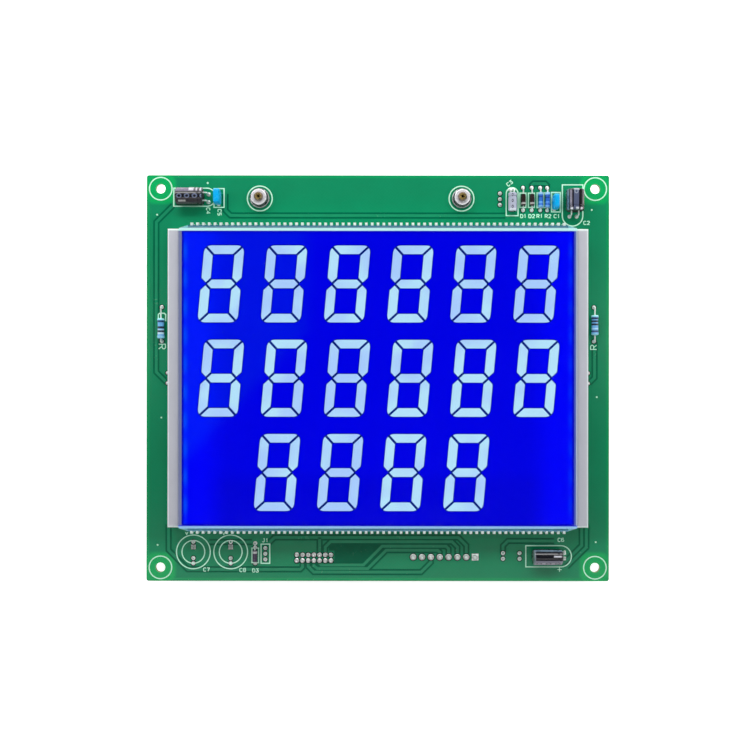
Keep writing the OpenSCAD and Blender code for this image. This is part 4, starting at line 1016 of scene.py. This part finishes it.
def makeMarks():
    pile = startPile(*printLevels)
    line, advance = markSetup["line"], markSetup["advance"]
    wide, tall = markSetup["grid"]
    for text, x, y, turn, *own in markSetup["marks"]:
        size = (own[0] if own else markSetup["tall"]) / tall
        spin = math.radians(turn)
        start = -((len(text) - 1) * advance + wide) / 2
        for i, letter in enumerate(text):
            for stroke in strokes[letter]:
                points = []
                for u, v in stroke:
                    across = (start + i * advance + u) * size * markSetup["stretch"]
                    up = (v - tall / 2) * size
                    points.append((x + across * math.cos(spin) - up * math.sin(spin),
                                   y + across * math.sin(spin) + up * math.cos(spin)))
                addRibbon(pile, points, line)
    notch = line / 2
    for x, y, arm in markSetup["plus"]:
        quarter = [(-arm, -notch), (-notch, -notch), (-notch, -arm)]
        outline = []
        for turn in range(4):   # three corners, turned to each quarter
            outline += [(x + u, y + v) for u, v in quarter]
            quarter = [(-v, u) for u, v in quarter]
        addPrism(pile, outline)
    makePiece("whiteMarks", pile, "whiteInk")


makeRings()
makeOutlines()
makeMarks()
print("white print made")


# copper runs under the lacquer: a pale raised run with a dark gap along each side, and one bare area
runSetup = {
    "wide": 1.25, "gap": 0.78, "low": 1.58, "gapTop": 1.6105, "step": 0.0005, "top": 1.612, "bareTop": 1.602,
    "runs": [
        [(-94.4, -2.1), (-99.2, 2.7), (-99.2, 69.8), (-91.7, 77.3)],
        [(-68.3, 82.4), (-68.3, 75.1), (-66.0, 72.8), (57.0, 72.8)],
        [(68.8, 85.2), (68.8, 86.3), (69.7, 87.2), (74.8, 87.2), (75.7, 86.3), (75.7, 85.2)],
        [(-93.6, -65.5), (-93.6, -77.0), (-85.0, -85.6), (-34.6, -85.6), (-33.63, -84.6), (-33.63, -81.7)],
        [(-31.09, -81.7), (-31.09, -84.3), (-28.6, -86.8), (19.4, -86.8), (23.8, -82.4), (23.81, -80.1)],
        [(-28.55, -81.7), (-28.55, -84.0), (-27.0, -85.2), (-4.4, -85.2), (3.8, -77.0), (26.9, -77.0),
         (27.77, -77.9), (27.77, -80.1)],
        [(-26.01, -81.7), (-26.01, -82.9), (-25.3, -83.6), (-6.4, -83.6), (2.0, -75.2), (30.6, -75.2),
         (31.73, -76.3), (31.73, -80.1)],
        [(-23.47, -79.1), (-23.47, -75.6), (-21.1, -73.2), (33.3, -73.2), (35.69, -75.6), (35.69, -80.1)],
        [(-48.7, -73.8), (-46.2, -71.3), (36.2, -71.3), (39.65, -74.8), (39.65, -80.1)],
        [(-26.01, -79.1), (-26.01, -71.3)],
        [(56.09, -78.2), (56.09, -75.0), (58.3, -72.8), (79.0, -72.8)],
        [(91.3, -65.5), (91.3, -74.8), (83.5, -82.6)],
        [(93.4, -65.5), (93.4, -75.6), (84.6, -84.4)],
        [(-75.4, -73.4), (-56.2, -73.4)],
        [(97.0, 16.4), (97.0, 0.3), (94.5, -2.2)],
    ],
    "bare": [(-21.8, -74.5), (0.9, -74.5), (-7.3, -82.7), (-19.4, -82.7), (-19.4, -77.2), (-21.8, -77.2)],
}


def makeRuns():
    gaps = startPile(runSetup["low"], runSetup["gapTop"])
    runs = startPile(runSetup["low"], runSetup["top"])
    for i, run in enumerate(runSetup["runs"]):
        gaps["top"] = runSetup["gapTop"] - i * runSetup["step"]   # a hair apart, as neighbours overlap
        addRibbon(gaps, run, runSetup["wide"] + 2 * runSetup["gap"])
        addRibbon(runs, run, runSetup["wide"])
    gaps["top"] = runSetup["bareTop"]
    addPrism(gaps, runSetup["bare"])
    makePiece("copperGaps", gaps, "gapGreen")
    makePiece("copperRuns", runs, "trackGreen")


# dark clearance round each pad, where the copper stops short of it
# a grid has its middle, its columns and their pitch, its rows and their pitch, and the radius of its pads
clearSetup = {
    "line": 0.42, "low": 1.58, "top": 1.616, "steps": 28,
    "grids": [((-28.55, -80.4), 7, 2.54, 2, 2.54, 1.0),   # data header
              ((29.75, -80.05), 8, 3.96, 1, 0.0, 1.36),   # power header
              ((54.59, 80.15), 1, 0.0, 3, 2.54, 0.87),   # regulator
              ((0.0, 24.1), 2, 193.38, 2, 15.24, 0.85),   # side resistors
              ((64.89, 80.2), 1, 0.0, 2, 10.0, 0.85),   # upper diodes and small resistors
              ((68.79, 80.2), 1, 0.0, 2, 10.0, 0.85),
              ((72.59, 80.2), 1, 0.0, 2, 10.0, 0.85),
              ((75.69, 80.2), 1, 0.0, 2, 10.0, 0.85),
              ((-54.79, -79.35), 1, 0.0, 2, 7.1, 0.85),   # lower diode
              ((-50.29, -78.6), 1, 0.0, 3, 2.54, 0.88),   # place with three holes
              ((59.79, -79.5), 2, 7.4, 2, 2.54, 0.88),   # two pairs of holes
              ((-74.14, -78.1), 2, 16.7, 2, 9.6, 0.88),   # round places, outer and inner holes
              ((-74.14, -78.1), 2, 16.7, 2, 5.0, 0.88),
              ((0.0, 0.0), 2, 187.98, 2, 4.6, 0.85)],   # backlight pins
}


def makeClearances():
    pile = startPile(clearSetup["low"], clearSetup["top"])
    line = clearSetup["line"]
    for (x, y), columns, across, rows, along, radius in clearSetup["grids"]:
        for i in range(columns):
            for k in range(rows):
                pad = (x + (i - (columns - 1) / 2) * across, y + (k - (rows - 1) / 2) * along)
                addRing(pile, pad, radius + line / 2, line, clearSetup["steps"])
    makePiece("padClearances", pile, "clearGreen")


# square pads: the first hole of each round place and of the power row
squareSetup = {"pads": [(-82.49, -75.6, 1.0), (-65.79, -75.6, 1.0), (43.61, -80.05, 1.5)], "line": 0.5,
               "low": 1.59, "top": 1.68}


def makeSquarePads():
    pile = startPile(squareSetup["low"], squareSetup["top"])
    for x, y, half in squareSetup["pads"]:
        reach = half - squareSetup["line"] / 2
        addBox(pile, x - reach, y - reach, x + reach, y + reach, squareSetup["line"])
    makePiece("squarePads", pile, "padMetal")


# resin that has run out thin over the four ends of the contact ledges
ledgeSetup = {"outline": [(82.2, 65.46), (86.5, 65.46), (83.0, 66.72), (82.2, 66.72)], "low": 11.205,
              "top": 11.23}


def makeLedgeEnds():
    pile = startPile(ledgeSetup["low"], ledgeSetup["top"])
    for side, end in corners:
        addPrism(pile, [(side * x, end * y) for x, y in ledgeSetup["outline"]])
    makePiece("ledgeEnds", pile, "thinResin")


makeRuns()
makeClearances()
makeSquarePads()
makeLedgeEnds()
print("copper runs, clearances, square pads and ledge ends made")


# rear of the board: fine runs from the pin rows to the four drivers, and white outlines
rearSetup = {"deep": 0.02, "proud": -0.012, "gapShare": (0.9, 0.05), "wide": 0.34, "pins": 65, "pitch": 2.54,
             "row": 67.75, "drivers": (-60.0, -20.0, 20.0, 60.0), "leads": 11, "leadPitch": 0.8, "reach": 6.6,
             "straight": 5.0}
rearPrintSetup = {"low": -0.02, "top": 0.02, "line": 0.3, "driver": 8.0, "dotAt": (-9.0, 7.2), "dot": 0.4,
                  "boxes": [(-42.0, -85.6, -15.1, -75.2), (13.1, -84.4, 46.4, -75.7)], "ringLine": 0.46}


def makeRearRuns():
    wide, proud, reach, leads = [rearSetup[key] for key in ("wide", "proud", "reach", "leads")]
    gaps = startPile(proud, rearSetup["deep"])
    runs = startPile(proud, rearSetup["deep"])
    most, less = rearSetup["gapShare"]
    spots = [(i - (rearSetup["pins"] - 1) / 2) * rearSetup["pitch"] for i in range(rearSetup["pins"])]
    for driver in rearSetup["drivers"]:
        near = sorted(sorted(spots, key=lambda spot: abs(spot - driver))[:leads])
        for i, spot in enumerate(near):
            gaps["low"] = proud * (most - less * i)   # a hair apart, as on the front
            lead = driver + (i - (leads - 1) / 2) * rearSetup["leadPitch"]
            bend = reach + rearSetup["straight"]
            route = [(lead, reach), (lead, bend), (spot, bend + abs(spot - lead)), (spot, rearSetup["row"])]
            for end in (-1, 1):
                mirrored = [(x, end * y) for x, y in route]
                addRibbon(gaps, mirrored, wide * 2)
                addRibbon(runs, mirrored, wide)
    makePiece("rearGaps", gaps, "gapGreen")
    makePiece("rearRuns", runs, "trackGreen")


def makeRearPrint():
    pile = startPile(rearPrintSetup["low"], rearPrintSetup["top"])
    line, half = rearPrintSetup["line"], rearPrintSetup["driver"]
    across, up = rearPrintSetup["dotAt"]
    for driver in rearSetup["drivers"]:
        addBox(pile, driver - half, -half, driver + half, half, line)
        addRing(pile, (driver + across, up), rearPrintSetup["dot"], line, ringSetup["dotSteps"])
    for box in rearPrintSetup["boxes"]:
        addBox(pile, *box, line)
    for hole in cornerHoles:
        addRing(pile, hole, ringSetup["corner"], rearPrintSetup["ringLine"], ringSetup["steps"])
    makePiece("rearPrint", pile, "whiteInk")


makeRearRuns()
makeRearPrint()
print("rear of the board made")


# floor, soft boxes round the camera and a dim sky above it, so the flat glass mirrors no light
floorSetup = {"level": -10.03, "reach": 4000.0, "tone": (250, 250, 250), "shift": 0.004, "scale": 3.0,
              "rough": 0.9, "glow": 0.75, "shaded": [(94.0, 87.0), (100.0, 80.0)], "shadeEdge": (-1.0, 0.5)}


def makeFloor():
    reach = floorSetup["reach"] * mm
    mesh = bpy.data.meshes.new("paleFloor")
    rim = [(-reach, -reach), (reach, -reach), (reach, reach), (-reach, reach)]
    mesh.from_pydata([(x, y, floorSetup["level"] * mm) for x, y in rim], [], [(0, 1, 2, 3)])
    tree, shader = startMaterial("paleFloor")
    patch = addMottle(tree, floorSetup["tone"], floorSetup)
    x, y, z = place(tree)
    clear = 1.0
    for wide, tall in floorSetup["shaded"]:   # painted shadow: no glow on the floor under the part
        over = calc("MAXIMUM", abs(x) - wide, abs(y) - tall)
        clear = ease(over, *floorSetup["shadeEdge"]) * clear
    feed(shader["Base Color"], patch)
    feed(shader["Emission Color"], mixTone(clear, black, patch))
    feed(shader["Emission Strength"], floorSetup["glow"])
    feed(shader["Roughness"], floorSetup["rough"])
    mesh.materials.append(materials["paleFloor"])
    floor = bpy.data.objects.new("paleFloor", mesh)
    bpy.context.scene.collection.objects.link(floor)


softBoxes = {
    "upperBox": {"at": (0, 390, 380), "size": (900, 160), "power": 2.5},
    "backWall": {"at": (0, 760, 230), "size": (1500, 420), "power": 2.2},
    "leftBox": {"at": (-760, 0, 470), "size": (320, 900), "power": 1.2},
    "rightBox": {"at": (760, 0, 470), "size": (320, 900), "power": 1.2},
    "leftStrip": {"at": (-420, 60, 420), "size": (24, 420), "power": 0.3},
    "rightStrip": {"at": (420, 60, 420), "size": (24, 420), "power": 0.3},
    "lowerGlow": {"at": (0, -330, 800), "size": (900, 110), "power": 0.8},
}


def makeLights():
    for name, box in softBoxes.items():
        data = bpy.data.lights.new(name, "AREA")
        data.shape = "RECTANGLE"
        data.size = box["size"][0] * mm
        data.size_y = box["size"][1] * mm
        data.energy = box["power"]
        lamp = bpy.data.objects.new(name, data)
        lamp.location = [level * mm for level in box["at"]]
        lamp.rotation_euler = (-lamp.location).to_track_quat("-Z", "Y").to_euler()
        bpy.context.scene.collection.objects.link(lamp)


skySetup = {"low": (0.8, 0.82, 0.85, 1), "high": (0.01, 0.01, 0.012, 1), "upTo": 0.6, "power": 0.6}


def makeSky():
    world = bpy.data.worlds.new("softSky")
    world.use_nodes = True
    tree = world.node_tree
    upward = splitUp(tree, addNode(tree, "ShaderNodeTexCoord").outputs["Generated"])[2]
    sky = tree.nodes["Background"].inputs
    feed(sky["Color"], mixTone(ease(upward, 0.0, skySetup["upTo"]), skySetup["low"], skySetup["high"]))
    feed(sky["Strength"], skySetup["power"])
    bpy.context.scene.world = world


makeFloor()
makeLights()
makeSky()
print("floor and lights made")
